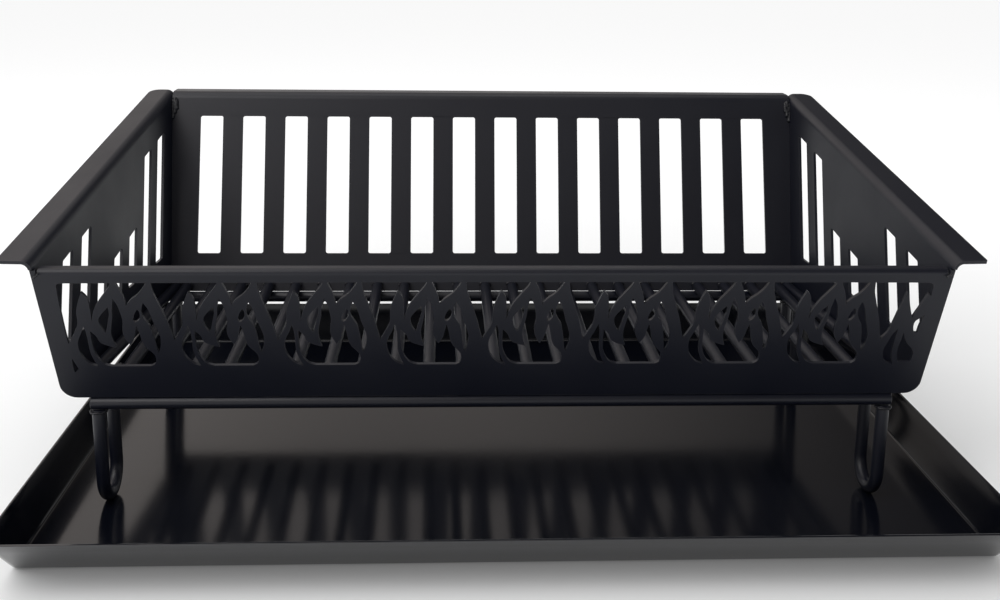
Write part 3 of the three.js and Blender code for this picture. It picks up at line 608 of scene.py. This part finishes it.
def frontPanel():
    rise, lean = frontSheet["rise"], frontSheet["lean"]
    relief = frontSheet["relief"]
    tilt = math.atan2(lean, rise)
    bend = frontSheet["fold"] + gauge
    foldLine = (rise - bend * (1 + math.sin(tilt))) / math.cos(tilt)
    foldHalf = innerSide(0, rise) - gap
    footHalf = sheetWork["footWidth"] / 2
    topHalf = footHalf + frontSheet["spread"]
    earTop = math.hypot(rise, lean) - gauge * math.tan(tilt)
    corners = [
        (foldHalf, foldLine), (-foldHalf, foldLine), (-foldHalf, foldLine - relief),
        (-foldHalf - relief, foldLine - relief), (-foldHalf - relief, earTop),
        (-topHalf, earTop), (-footHalf, 0), (footHalf, 0), (topHalf, earTop),
        (foldHalf + relief, earTop), (foldHalf + relief, foldLine - relief),
        (foldHalf, foldLine - relief),
    ]
    radii = [0] * 6 + [frontSheet["corner"]] * 2 + [0] * 4
    plate = roundedLoop(corners, radii)
    holes = [strokedLoop(opening, 0) for opening in leftEnd]
    for flame in range(frontSheet["flameCount"]):
        if flame > 0:
            holes.append(strokedLoop(flameGap, flame))
        holes.append(strokedLoop(flameNotch, flame))
        holes += [strokedLoop(opening, flame) for opening in flameHoles]
    holes += [strokedLoop(opening, frontSheet["flameCount"]) for opening in rightEnd]
    return foldedSheet("frontPanel", plate, holes,
                       straightFlange(frontSheet["flange"], 2 * foldHalf),
                       frontSheet["fold"], math.pi / 2 + tilt, -1, leaningPlane(frontUp, 0))


frontPiece = frontPanel()
finishPiece(frontPiece, ["front_panel"])
print("front panel:", len(frontPiece.data.polygons), "faces")


# --- back panel
backSheet = {
    "rise": 186.0,
    "lean": 65.0,
    "fold": 7.0,
    "flange": 16.0,
    "slotCount": 14,
    "slotWidth": 22.0,
    "slotCorner": 2.0,
    "slotMargin": 24.4,
    "slotLow": 35.0,
    "slotHigh": 163.5,
}
backUp = Vector((0, backSheet["lean"], backSheet["rise"])).normalized()
backFaceDepth = gauge * math.hypot(1, backSheet["lean"] / backSheet["rise"])


def backLeanAt(height):
    return sheetWork["depth"] + backSheet["lean"] * height / backSheet["rise"]


def backPanel():
    rise, lean = backSheet["rise"], backSheet["lean"]
    tilt = math.atan2(lean, rise)
    bend = backSheet["fold"] + gauge
    foldLine = (rise - bend * (1 - math.sin(tilt))) / math.cos(tilt)

    def halfAt(along):
        height = along * math.cos(tilt)
        return innerSide(backLeanAt(height) + backFaceDepth, height) + seam

    topHalf, footHalf = halfAt(foldLine), halfAt(0)
    corners = [(topHalf, foldLine), (-topHalf, foldLine), (-footHalf, 0), (footHalf, 0)]
    plate = [Vector(p) for p in corners]
    width, count = backSheet["slotWidth"], backSheet["slotCount"]
    pitch = (2 * (footHalf - backSheet["slotMargin"]) - width) / (count - 1)
    low = backSheet["slotLow"] / math.cos(tilt)
    high = backSheet["slotHigh"] / math.cos(tilt)
    holes = []
    for i in range(count):
        middle = (i - (count - 1) / 2) * pitch
        left, right = middle - width / 2, middle + width / 2
        corners = [(left, low), (right, low), (right, high), (left, high)]
        holes.append(roundedLoop(corners, backSheet["slotCorner"]))
    return foldedSheet("backPanel", plate, holes, straightFlange(backSheet["flange"], 2 * topHalf),
                       backSheet["fold"], math.pi / 2 - tilt, -1,
                       leaningPlane(backUp, sheetWork["depth"]))


backPiece = backPanel()
finishPiece(backPiece, ["back_panel"])
print("back panel:", len(backPiece.data.polygons), "faces")


# --- side panels
sideSheet = {
    "fold": 4.8,
    "wingFront": 17.5,
    "wingRear": 16.0,
    "wingCorner": 10.0,
    "wingTip": 1.5,             # rounding of its front corner; wingCorner is the rear one's
    "wingStart": -32.0,
    "wingEnd": 345.0,
    "wingKink": 14.0,
    "frontHeight": 115.6,
    "rearHeight": 186.0,
    "corner": 12.0,             # rounding of the lower front corner
    "slotCount": 7,
    "slotsShort": (2, 3, 4),    # counted from the rear, the ones under the plain field
    "slotWidth": 21.0,
    "slotRear": 41.0,
    "slotFront": -3.0,
    "slotLean": 0.38,
    "slotLow": 37.5,
    "slotRim": 27.0,
    "slotShort": 75.0,
    "slotCorner": 2.0,
}


def sidePanel(name, hand):
    depth = sheetWork["depth"]
    start, end = sideSheet["wingStart"], sideSheet["wingEnd"]
    rise = sideSheet["rearHeight"] - sideSheet["frontHeight"]
    slope = rise / (backSheet["lean"] + depth - start)

    def wingHeight(at):
        return sideSheet["frontHeight"] + slope * (at - start)

    def foldHeight(at):
        return wingHeight(at) - sideSheet["fold"] - gauge

    kink = foldHeight(end) - sideSheet["wingKink"]
    plate = roundedLoop([
        sidePlanePoint(end, foldHeight(end)),
        sidePlanePoint(start, foldHeight(start)),
        sidePlanePoint(-frontSheet["lean"] + frontFaceDepth - seam, foldHeight(start)),
        sidePlanePoint(frontFaceDepth - seam, 0),
        sidePlanePoint(depth + backFaceDepth, 0),
        sidePlanePoint(backLeanAt(kink) + backFaceDepth, kink),
    ], [0, 0, 0, sideSheet["corner"], 0, 0])
    count, half = sideSheet["slotCount"], sideSheet["slotWidth"] / 2
    pitch = (depth - sideSheet["slotRear"] - sideSheet["slotFront"]) / (count - 1)
    low, lean = sideSheet["slotLow"], sideSheet["slotLean"]
    holes = []
    for i in range(count):
        foot = depth - sideSheet["slotRear"] - i * pitch
        drop = sideSheet["slotShort" if i in sideSheet["slotsShort"] else "slotRim"]
        corners = []
        for offset in (half, -half):
            height = (wingHeight(foot + offset) - drop) / (1 - slope * lean)
            corners.append(sidePlanePoint(foot + offset + lean * height, height))
        for offset in (-half, half):
            corners.append(sidePlanePoint(foot + offset + lean * low, low))
        holes.append(roundedLoop(corners, sideSheet["slotCorner"]))
    fold = plate[1] - plate[0]
    outward = Vector((fold.y, -fold.x)).normalized()
    out = sideAlong * outward.x + sideUp * outward.y
    angle = math.atan2(out.z, -sideNormal.z)
    length = fold.length
    corners = [(0, length), (0, 0), (sideSheet["wingRear"], 0), (sideSheet["wingFront"], length)]
    radii = [0, 0, sideSheet["wingCorner"], sideSheet["wingTip"]]
    flange = roundedLoop(corners, radii)

    def toRow(x, y, z):
        p = sideOrigin + sideAlong * x + sideUp * y + sideNormal * z
        return basketPoint(p.x * hand, p.y, p.z)

    return foldedSheet(name, plate, holes, flange, sideSheet["fold"], angle, 1, toRow)


for hand, label in hands:
    sidePiece = sidePanel("sidePanel." + label, hand)
    finishPiece(sidePiece, ["side_panel_" + label])
print("side panels ready")


# --- ash tray
trayShape = {
    "width": 712.0, "depth": 523.0, "height": 43.0, "sheet": 2.0,
    "sideSplay": 2.5, "rearSplay": 4.5, "frontSplay": 47.0,
    "rearCorner": 34.0, "frontCorner": 6.0, "cornerGrowth": 4.0,
    "crease": 3.0, "lip": 0.6,
    "cornerSteps": 24, "creaseSteps": 8, "lipSteps": 4,
    "wallShares": (0.4, 0.7),   # heights of the two rings part way up a wall
    "sharpAngle": 40,
}


def trayRing(rise, inward):
    shape = trayShape
    up = rise / shape["height"]
    slope = math.hypot(shape["height"], shape["frontSplay"]) / shape["height"]
    half = shape["width"] / 2 - shape["sideSplay"] * (1 - up) - inward
    front = -shape["depth"] / 2 + shape["frontSplay"] * (1 - up) + inward * slope
    rear = shape["depth"] / 2 - shape["rearSplay"] * (1 - up) - inward
    frontCorner = shape["frontCorner"] + shape["cornerGrowth"] * up - inward
    rearCorner = shape["rearCorner"] - inward
    loop = roundedLoop([(-half, front), (half, front), (half, rear), (-half, rear)],
                       [frontCorner, frontCorner, rearCorner, rearCorner], shape["cornerSteps"])
    return [Vector((p.x * mm, p.y * mm, rise * mm)) for p in loop]


def ashTray():
    height, sheet, lip = trayShape["height"], trayShape["sheet"], trayShape["lip"]
    low, high = trayShape["wallShares"]

    def crease(radius, floor, wall):
        return [trayRing(floor + radius * (1 - math.cos(t)), wall + radius * (1 - math.sin(t)))
                for t in quarterTurns(trayShape["creaseSteps"])]

    # one profile, from the underside over the lip to the floor inside
    lipTurns = quarterTurns(trayShape["lipSteps"])
    rings = crease(trayShape["crease"], 0, 0)
    rings += [trayRing(height * share, 0) for share in (low, high)]
    rings += [trayRing(height - lip + lip * math.sin(t), lip - lip * math.cos(t))
              for t in lipTurns]
    rings += [trayRing(height - lip + lip * math.cos(t), sheet - lip + lip * math.sin(t))
              for t in lipTurns]
    rings += [trayRing(height * share, sheet) for share in (high, low)]
    rings += crease(trayShape["crease"] - sheet / 2, sheet, sheet)[::-1]
    count = len(rings[0])
    vertices = [v for ring in rings for v in ring]
    faces = []
    for r in range(len(rings) - 1):
        for i in range(count):
            j = (i + 1) % count
            faces.append((r * count + i, r * count + j, (r + 1) * count + j, (r + 1) * count + i))
    faces.append(tuple(range(count))[::-1])
    faces.append(tuple(range((len(rings) - 1) * count, len(rings) * count)))
    obj = meshObject("ashTray", vertices, faces, glossBlack)
    cleanMesh(obj)
    shadeByAngle(obj, trayShape["sharpAngle"])
    return obj


finishPiece(ashTray(), ["ash_tray"], "tray")
print("ash tray ready")


# --- bar work
barWork = {
    "bar": 10.0,
    "floorCount": 23,           # parallel ones; one more lies along each side panel
    "outerStart": 7.0,
    "outerGap": 0.4,
    "crossbarSetback": 3.0,     # front crossbar's axis behind the front panel's foot
    "rearSetback": 1.0,         # rear crossbar's axis before the back panel's foot
    "legGap": 1.7,
    "legSpread": 38.0,
    "armProud": 8.0,
    "endRound": 0.6,            # rounding of the sawn ends
    "endSteps": 4,
    "bendSteps": 32,
    "sides": 32,
    "fuse": 0.002,              # corners nearer than this are one
    "sharpAngle": 50,
}
barRadius = barWork["bar"] / 2
crossbarHeight = foot - gap - barRadius
floorBarHeight = foot + barRadius
outerArmTop = crossbarHeight - barRadius - gap
outerFront = innerSide(0, 0) - barWork["outerStart"]
outerRear = innerSide(sheetWork["depth"], 0) - gap - barRadius
lastBar = outerRear - barWork["outerGap"] - barWork["bar"]
barPitch = lastBar / ((barWork["floorCount"] - 1) / 2)
legX = lastBar + barWork["bar"] + barWork["legGap"]
barFront, barRear = frontFaceDepth + gap, sheetWork["depth"] - gap
rearCrossbarY = sheetWork["depth"] - barWork["rearSetback"]


def lineTree(name, inputs):
    # A node group that is put on a mesh of lines. Gives its other inputs' identifiers and
    # values, its input sockets, and the lines as curves.
    tree = bpy.data.node_groups.new(name, "GeometryNodeTree")
    tree.interface.new_socket(name="Geometry", in_out="INPUT", socket_type="NodeSocketGeometry")
    sockets = {}
    for label, value in inputs.items():
        kind = "NodeSocketInt" if isinstance(value, int) else "NodeSocketFloat"
        socket = tree.interface.new_socket(name=label, in_out="INPUT", socket_type=kind)
        socket.default_value = value
        sockets[label] = (socket.identifier, value)
    tree.interface.new_socket(name="Geometry", in_out="OUTPUT", socket_type="NodeSocketGeometry")
    given = addNode(tree, "NodeGroupInput", (-8, 0)).outputs
    lines = addNode(tree, "GeometryNodeMeshToCurve", (-7, 0), {"Mesh": given["Geometry"]})
    return tree, sockets, given, lines


def closeTree(tree, column, geometry, material):
    # The last nodes of every tree: real geometry, painted.
    real = addNode(tree, "GeometryNodeRealizeInstances", (column, 0), {"Geometry": geometry})
    painted = addNode(tree, "GeometryNodeSetMaterial", (column + 1, 0),
                      {"Geometry": real, "Material": material})
    addNode(tree, "NodeGroupOutput", (column + 2, 0), {"Geometry": painted})


def runTree(obj, tree, sockets, changed):
    # Puts the tree on the object with its named inputs set, and keeps what it makes.
    modifier = obj.modifiers.new(tree.name, "NODES")
    modifier.node_group = tree
    for label, (identifier, value) in sockets.items():
        modifier[identifier] = changed.get(label, value)
    bakeModifiers(obj)


def barTree():
    # Sweeps one round bar along every line of the mesh it is put on, with rounded ends.
    tree, sockets, given, lines = lineTree("round bars", {
        "Bar radius": barRadius * mm, "End rounding": barWork["endRound"] * mm,
        "Sides": barWork["sides"],
    })
    # distance from the nearer end of the line, in metres
    along = addNode(tree, "GeometryNodeSplineParameter", (-7, 2)).outputs["Length"]
    whole = addNode(tree, "GeometryNodeSplineLength", (-7, 3))
    fromEnd = mathNode(tree, (-6, 3), "SUBTRACT", whole, along)
    nearest = mathNode(tree, (-5, 2), "MINIMUM", along, fromEnd)
    # the end's quarter round: radius less round, plus root(round^2 - (round - distance)^2)
    inside = mathNode(tree, (-4, 2), "SUBTRACT", given["End rounding"], nearest)
    depthIn = mathNode(tree, (-3, 2), "MAXIMUM", inside, 0.0)
    squareIn = mathNode(tree, (-2, 2), "POWER", depthIn, 2.0)
    squareAll = mathNode(tree, (-2, 3), "POWER", given["End rounding"], 2.0)
    left = mathNode(tree, (-1, 2), "SUBTRACT", squareAll, squareIn)
    root = mathNode(tree, (0, 2), "SQRT", left)
    core = mathNode(tree, (0, 3), "SUBTRACT", given["Bar radius"], given["End rounding"])
    size = mathNode(tree, (1, 2), "ADD", core, root)
    ring = addNode(tree, "GeometryNodeCurvePrimitiveCircle", (1, 1),
                   {"Resolution": given["Sides"], "Radius": 1.0})
    swept = addNode(tree, "GeometryNodeCurveToMesh", (2, 0), {
        "Curve": lines, "Profile Curve": ring, "Scale": size, "Fill Caps": True,
    })
    closeTree(tree, 3, swept, satinBlack)
    return tree, sockets


roundBars, barSockets = barTree()


def sweepBars(name, paths, nodes):
    # The paths are lists of basket points in millimetres; each becomes one bar.
    obj = lineObject(name, paths)
    runTree(obj, roundBars, barSockets, {})
    cleanMesh(obj, barWork["fuse"] * mm)
    shadeByAngle(obj, barWork["sharpAngle"])
    finishPiece(obj, nodes)


def endStations():
    # Distances from a bar's end where its rings lie, close together over the rounding.
    return [barWork["endRound"] * (1 - math.cos(t)) for t in quarterTurns(barWork["endSteps"])]


def straightPath(start, end):
    start, end = Vector(start), Vector(end)
    length = (end - start).length
    near = endStations()
    stations = near + [length / 2] + [length - d for d in reversed(near)]
    return [start + (end - start) * (d / length) for d in stations]


floorPaths = []
barCount = barWork["floorCount"] + 2
for i in range(barCount):
    step = i - (barCount - 1) / 2
    outer = abs(step) == (barCount - 1) / 2
    frontX = math.copysign(outerFront, step) if outer else step * barPitch
    rearX = math.copysign(outerRear, step) if outer else step * barPitch
    floorPaths.append(straightPath((frontX, barFront, floorBarHeight),
                                   (rearX, barRear, floorBarHeight)))
sweepBars("floorBars", floorPaths, ["floor_bar_%02d" % (i + 1) for i in range(barCount)])

crossbarHalf = legX + barRadius
for label, y in (("front", barWork["crossbarSetback"]), ("rear", rearCrossbarY)):
    path = straightPath((-crossbarHalf, y, crossbarHeight), (crossbarHalf, y, crossbarHeight))
    sweepBars("crossbar." + label, [path], ["crossbar_" + label])


def hairpinPath(x, y, direction, innerTop):
    # Down from the crossbar, round the bend and up again.
    bend, steps, near = barWork["legSpread"] / 2, barWork["bendSteps"], endStations()
    low = bend + barRadius
    path = [(x, y, outerArmTop - d) for d in near]
    for k in range(steps + 1):
        turn = math.pi * k / steps
        path.append((x, y + direction * bend * (1 - math.cos(turn)),
                     low - bend * math.sin(turn)))
    path += [(x, y + direction * 2 * bend, innerTop - d) for d in reversed(near)]
    return path


legShapes = {
    "front": (barWork["crossbarSetback"], 1, foot + barWork["armProud"]),
    "rear": (rearCrossbarY, -1, foot - gap),
}
for hand, label in hands:
    for end, (y, direction, innerTop) in legShapes.items():
        path = hairpinPath(hand * legX, y, direction, innerTop)
        sweepBars("leg.%s.%s" % (end, label), [path], ["leg_%s_%s" % (end, label)])
print("bar work ready")


# --- welds
# Radius of each kind of bead, and the grain in which its drops flow together.
beadKinds = {
    "arm": (1.05, 0.28),        # round a leg's arm
    "dot": (1.7, 0.22),         # on either side of a front leg's inner arm
    "lump": (2.3, 0.3),         # at the top of the back panel's ends
    "nose": (0.9, 0.18),        # at the front panel's top corners
    "corner": (2.1, 0.3),       # up the inner back corners
    "fillet": (1.2, 0.3),       # over each end of a floor bar
}
weldWork = {
    "ripple": 1.1,              # from one ripple of a bead to the next
    "seed": 7,
    "waver": 0.25,              # how far a drop may lie off its line
    "dropSizes": (0.88, 1.0),   # shares of the bead's radius
    "dropRounds": 3,
    "soften": 0.5,
    "softenTimes": 2,
    "armClear": 0.5,
    "ringSteps": 40,
    "dot": 2.0,
    "dotHalf": 0.9,
    "dotDroop": 0.3,
    "lump": 2.6,
    "lumpLength": 8.0,
    "lumpEnd": 2.2,
    "lumpDrop": 16.0,
    "lumpShares": (-1, -0.5, 0, 0.5, 1),
    "noseDrop": 4.0,
    "noseInset": 0.5,
    "noseLine": ((-1.4, -1.2), (-0.4, 0), (1.2, 1.1)),
    "cornerLines": ((24, 9, 0.6), (19, 7, 2.6), (15, 8, 4.2)),    # from and to, aside
    "cornerOff": 0.6,
    "filletFrom": 20,           # degrees
    "filletSweep": 140,
    "filletSteps": 12,
    "filletClear": 0.2,
    "filletOff": 0.9,
}


def beadTree():
    # Strings overlapping drops along a line, each a little off in size and place, like a
    # hand-laid bead.
    tree, sockets, given, lines = lineTree("weld beads", {
        "Bead radius": beadKinds["arm"][0] * mm, "Ripple pitch": weldWork["ripple"] * mm,
        "Seed": weldWork["seed"],
    })
    spaced = addNode(tree, "GeometryNodeResampleCurve", (-3, 0),
                     {"Curve": lines, "Length": given["Ripple pitch"]}, mode="LENGTH")
    points = addNode(tree, "GeometryNodeCurveToPoints", (-2, 0), {"Curve": spaced},
                     mode="EVALUATED")
    drop = addNode(tree, "GeometryNodeMeshIcoSphere", (-2, 2), {
        "Radius": given["Bead radius"], "Subdivisions": weldWork["dropRounds"],
    })
    waver = weldWork["waver"] * mm
    off = addNode(tree, "FunctionNodeRandomValue", (-2, 5), {
        0: (-waver,) * 3, 1: (waver,) * 3, "Seed": given["Seed"],
    }, data_type="FLOAT_VECTOR")
    strewn = addNode(tree, "GeometryNodeSetPosition", (-1, 0), {"Geometry": points, "Offset": off})
    least, most = weldWork["dropSizes"]
    size = addNode(tree, "FunctionNodeRandomValue", (-2, 3), {
        2: least, 3: most, "Seed": given["Seed"],
    }, data_type="FLOAT").outputs[1]
    string = addNode(tree, "GeometryNodeInstanceOnPoints", (0, 0), {
        "Points": strewn, "Instance": drop, "Rotation": points.outputs["Rotation"], "Scale": size,
    })
    closeTree(tree, 1, string, weldBlack)
    return tree, sockets


weldBeads, beadSockets = beadTree()


def layBeads(name, lines, kind, nodes=()):
    # The lines are basket points in millimetres; the drops of a bead flow into one skin.
    beadRadius, voxel = beadKinds[kind]
    obj = lineObject(name, lines)
    runTree(obj, weldBeads, beadSockets, {"Bead radius": beadRadius * mm})
    flow = obj.modifiers.new("flow together", "REMESH")
    flow.mode = "VOXEL"
    flow.voxel_size = voxel * mm
    soften = obj.modifiers.new("soften", "SMOOTH")
    soften.factor = weldWork["soften"]
    soften.iterations = weldWork["softenTimes"]
    bakeModifiers(obj)
    obj.data.materials.clear()
    obj.data.materials.append(weldBlack)
    for polygon in obj.data.polygons:
        polygon.use_smooth = True
    finishPiece(obj, nodes)


def ringLine(x, y, z, radius):
    turns = [2 * math.pi * k / weldWork["ringSteps"] for k in range(weldWork["ringSteps"] + 1)]
    return [(x + radius * math.cos(turn), y + radius * math.sin(turn), z) for turn in turns]


armBead, dotHalf = beadKinds["arm"][0], weldWork["dotHalf"]
armRing = barRadius + gap + weldWork["armClear"]
armSeats = {                    # depth of each welded arm, and what its bead lies under
    "leg.front": (barWork["crossbarSetback"], outerArmTop - gap),
    "leg.rear": (rearCrossbarY, outerArmTop - gap),
    "arm.rear": (rearCrossbarY - barWork["legSpread"], foot - 2 * gap),
}
half = (legX - lastBar) / 2
reach = math.sqrt((barRadius + weldWork["dot"] + gap) ** 2 - half ** 2)
for hand, label in hands:
    for part, (y, seat) in armSeats.items():
        layBeads("weld.%s.%s" % (part, label),
                 [ringLine(hand * legX, y, seat - armBead, armRing)], "arm",
                 ["weld_%s_%s" % (part.replace(".", "_"), label)])
    # a bead on either side of the arm that stands up between two floor bars
    middle = hand * (lastBar + half)
    armY = barWork["crossbarSetback"] + barWork["legSpread"]
    for step, end in ((-1, "fore"), (1, "aft")):
        line = [(middle + dx, armY + step * reach,
                 floorBarHeight + reach - abs(dx) * weldWork["dotDroop"])
                for dx in (-dotHalf, 0, dotHalf)]
        layBeads("weld.arm.%s.%s" % (end, label), [line], "dot",
                 ["weld_arm_%s_%s" % (end, label)])
print("leg welds ready")

# Lumps at the four top corners, where sheet meets sheet.
for hand, label in hands:
    away = weldWork["lump"] + gap
    height = backSheet["rise"] - weldWork["lumpDrop"]
    centre = Vector((
        hand * (innerSide(backLeanAt(height), height) - away),
        backLeanAt(height) + backFaceDepth + away * backUp.z,
        foot + height - away * backUp.y,
    ))
    reach = weldWork["lumpLength"] - weldWork["lumpEnd"]
    line = [tuple(centre + backUp * (reach * share)) for share in weldWork["lumpShares"]]
    layBeads("weld.corner.back." + label, [line], "lump", ["weld_back_corner_" + label])
    away = weldWork["lump"] / 2 + gap
    height = frontSheet["rise"] - weldWork["noseDrop"]
    centre = Vector((
        hand * (innerSide(0, height) + weldWork["noseInset"]),
        -frontSheet["lean"] * height / frontSheet["rise"] - away * frontUp.z,
        foot + height + away * frontUp.y,
    ))
    line = [tuple(centre + Vector((dx, 0, 0)) + frontUp * dz) for dx, dz in weldWork["noseLine"]]
    layBeads("weld.corner.front." + label, [line], "nose", ["weld_front_corner_" + label])
    # a rough bead runs up the inner corner, under the back panel's flange
    lines = []
    for low, high, aside in weldWork["cornerLines"]:
        line = []
        for drop in (low, (low + high) / 2, high):
            height = backSheet["rise"] - drop
            depth = backLeanAt(height)
            line.append((hand * (innerSide(depth, height) - aside),
                         depth - weldWork["cornerOff"], foot + height))
        lines.append(line)
    layBeads("weld.corner.inner." + label, lines, "corner")

# Fillets over the floor bars where they meet the panels.
fillets = []
filletRadius, filletSteps = barRadius + weldWork["filletClear"], weldWork["filletSteps"]
for path in floorPaths:
    for end, y, inward in ((path[0], barFront, 1), (path[-1], barRear, -1)):
        ring = []
        for k in range(filletSteps + 1):
            angle = math.radians(weldWork["filletFrom"] + weldWork["filletSweep"] * k / filletSteps)
            ring.append((end.x + filletRadius * math.cos(angle),
                         y + inward * weldWork["filletOff"],
                         end.z + filletRadius * math.sin(angle)))
        fillets.append(ring)
layBeads("weld.barEnds", fillets, "fillet")
print("welds ready")


# --- studio
studio = {
    "camera": (-0.05252, -0.98691, 0.43894),
    "yaw": 2.8536,
    "pitch": 13.0644,
    "roll": 0.7648,
    "focal": 1195.618,          # in pixels of the picture
    "centreY": 208.7875,
    "picture": (1000, 600),
    "sensor": 36,               # millimetres
    "clip": (0.01, 50),
    "skyLight": 0.72,           # the room as diffuse light sees it
    "floorSize": 12.0,          # metres, half the floor's side
    "floorDrop": 0.0005,
    "floorTone": 0.8,           # the floor as diffuse light sees it
    "seenTone": 0.86,           # the same floor as it is seen, with a glow that makes it white
    "glow": (0.06, 0.32),       # near and far
    "glowSpan": (0.45, 1.6),    # metres from the object's middle
    "roomTones": [(0.30, 1.0), (0.5, 0.46), (0.68, 0.07)],   # from left to right
    "roomTint": (1.0, 0.92, 0.87),
    "horizon": (0.06, 0.35),    # sines of the heights between which the room darkens
}
white = linearColour("#ffffff")
# place, target and size in metres, power in watts
lamps = {
    "softboxLeft": ((-1.15, -0.95, 1.75), (0, 0, 0.15), (1.5, 1.5), 22),
    "softboxTop": ((-0.2, 0.5, 2.1), (0, 0, 0.1), (1.8, 1.0), 8),
}


def seenDirectly(tree, place):
    # 1 for rays that show the surroundings: straight, in a reflection or through a surface.
    rays = addNode(tree, "ShaderNodeLightPath", place).outputs
    seen = mathNode(tree, (place[0] + 1, place[1]), "MAXIMUM",
                    rays["Is Camera Ray"], rays["Is Glossy Ray"])
    return mathNode(tree, (place[0] + 2, place[1]), "MAXIMUM", seen, rays["Is Transmission Ray"])


def studioFloor():
    size, low = studio["floorSize"], -studio["floorDrop"]
    material = bpy.data.materials.new("matt studio floor")
    tree = emptyTree(material)
    seen = seenDirectly(tree, (-5, -2))
    plain = [addNode(tree, "ShaderNodeBsdfDiffuse", (-2, row), {"Color": (tone, tone, tone, 1)})
             for row, tone in enumerate((studio["floorTone"], studio["seenTone"]))]
    # the glow rises away from the object, so the floor under and beside it keeps its shadow
    spot = addNode(tree, "ShaderNodeTexCoord", (-5, 2)).outputs["Object"]
    away = addNode(tree, "ShaderNodeVectorMath", (-4, 2), {0: spot}, operation="LENGTH")
    rise = remap(tree, (-3, 2), away.outputs["Value"], studio["glowSpan"], *studio["glow"],
                 "SMOOTHSTEP")
    glow = addNode(tree, "ShaderNodeEmission", (-2, 2), {"Color": white, "Strength": rise})
    lit = addNode(tree, "ShaderNodeAddShader", (-1, 1), {0: plain[1], 1: glow})
    mixed = addNode(tree, "ShaderNodeMixShader", (0, 0), {0: seen, 1: plain[0], 2: lit})
    addNode(tree, "ShaderNodeOutputMaterial", (1, 0), {"Surface": mixed})
    corners = [(-size, -size, low), (size, -size, low), (size, size, low), (-size, size, low)]
    meshObject("studioFloor", corners, [(0, 1, 2, 3)], material)


def studioWorld():
    # White all round near the horizon; higher up the room darkens from left to right.
    world = bpy.data.worlds.new("white studio")
    bpy.context.scene.world = world
    tree = emptyTree(world)
    toward = addNode(tree, "ShaderNodeTexCoord", (-5, 0)).outputs["Generated"]
    parts = addNode(tree, "ShaderNodeSeparateXYZ", (-4, 0), {"Vector": toward}).outputs
    across = remap(tree, (-3, 0), parts["X"], (-1.0, 1.0))
    room = addNode(tree, "ShaderNodeValToRGB", (-2, 0), {"Fac": across})
    room.color_ramp.interpolation = "EASE"
    stops = studio["roomTones"]
    while len(room.color_ramp.elements) < len(stops):
        room.color_ramp.elements.new(0.5)
    for element, (at, tone) in zip(room.color_ramp.elements, stops):
        element.position = at
        element.color = [tone * share for share in studio["roomTint"]] + [1]
    lift = remap(tree, (-3, 2), parts["Z"], studio["horizon"], kind="SMOOTHSTEP")
    backdrop = addNode(tree, "ShaderNodeMix", (-1, 0), {"Factor": lift, 6: white, 7: room},
                       data_type="RGBA")
    shown = addNode(tree, "ShaderNodeBackground", (0, 1),
                    {"Color": backdrop.outputs[2], "Strength": 1.0})
    plain = addNode(tree, "ShaderNodeBackground", (0, 0),
                    {"Color": white, "Strength": studio["skyLight"]})
    mixed = addNode(tree, "ShaderNodeMixShader", (1, 0),
                    {0: seenDirectly(tree, (-3, 4)), 1: plain, 2: shown})
    addNode(tree, "ShaderNodeOutputWorld", (2, 0), {"Surface": mixed})


def softLamp(name, place, target, size, power):
    data = bpy.data.lights.new(name, "AREA")
    data.shape = "RECTANGLE"
    data.size, data.size_y = size
    data.energy = power
    lamp = linkObject(name, data)
    lamp.location = place
    lamp.rotation_mode = "QUATERNION"
    lamp.rotation_quaternion = (Vector(target) - Vector(place)).to_track_quat("-Z", "Y")


def studioCamera():
    yaw, pitch, roll = (math.radians(studio[k]) for k in ("yaw", "pitch", "roll"))
    level = math.cos(pitch)
    ahead = Vector((math.sin(yaw) * level, math.cos(yaw) * level, -math.sin(pitch)))
    right = Vector((math.cos(yaw), -math.sin(yaw), 0))
    up = right.cross(ahead)
    rightRolled = right * math.cos(roll) + up * math.sin(roll)
    upRolled = up * math.cos(roll) - right * math.sin(roll)
    width, height = studio["picture"]
    data = bpy.data.cameras.new("camera")
    data.sensor_width = studio["sensor"]
    data.lens = studio["focal"] * studio["sensor"] / width
    data.shift_y = (studio["centreY"] - height / 2) / width
    data.clip_start, data.clip_end = studio["clip"]
    camera = linkObject("camera", data)
    turn = Matrix((rightRolled, upRolled, -ahead)).transposed()
    camera.matrix_world = Matrix.Translation(studio["camera"]) @ turn.to_4x4()
    bpy.context.scene.camera = camera


studioFloor()
studioWorld()
for name, (place, target, size, power) in lamps.items():
    softLamp(name, place, target, size, power)
studioCamera()
bpy.context.scene.view_settings.view_transform = "Standard"
print("studio ready")
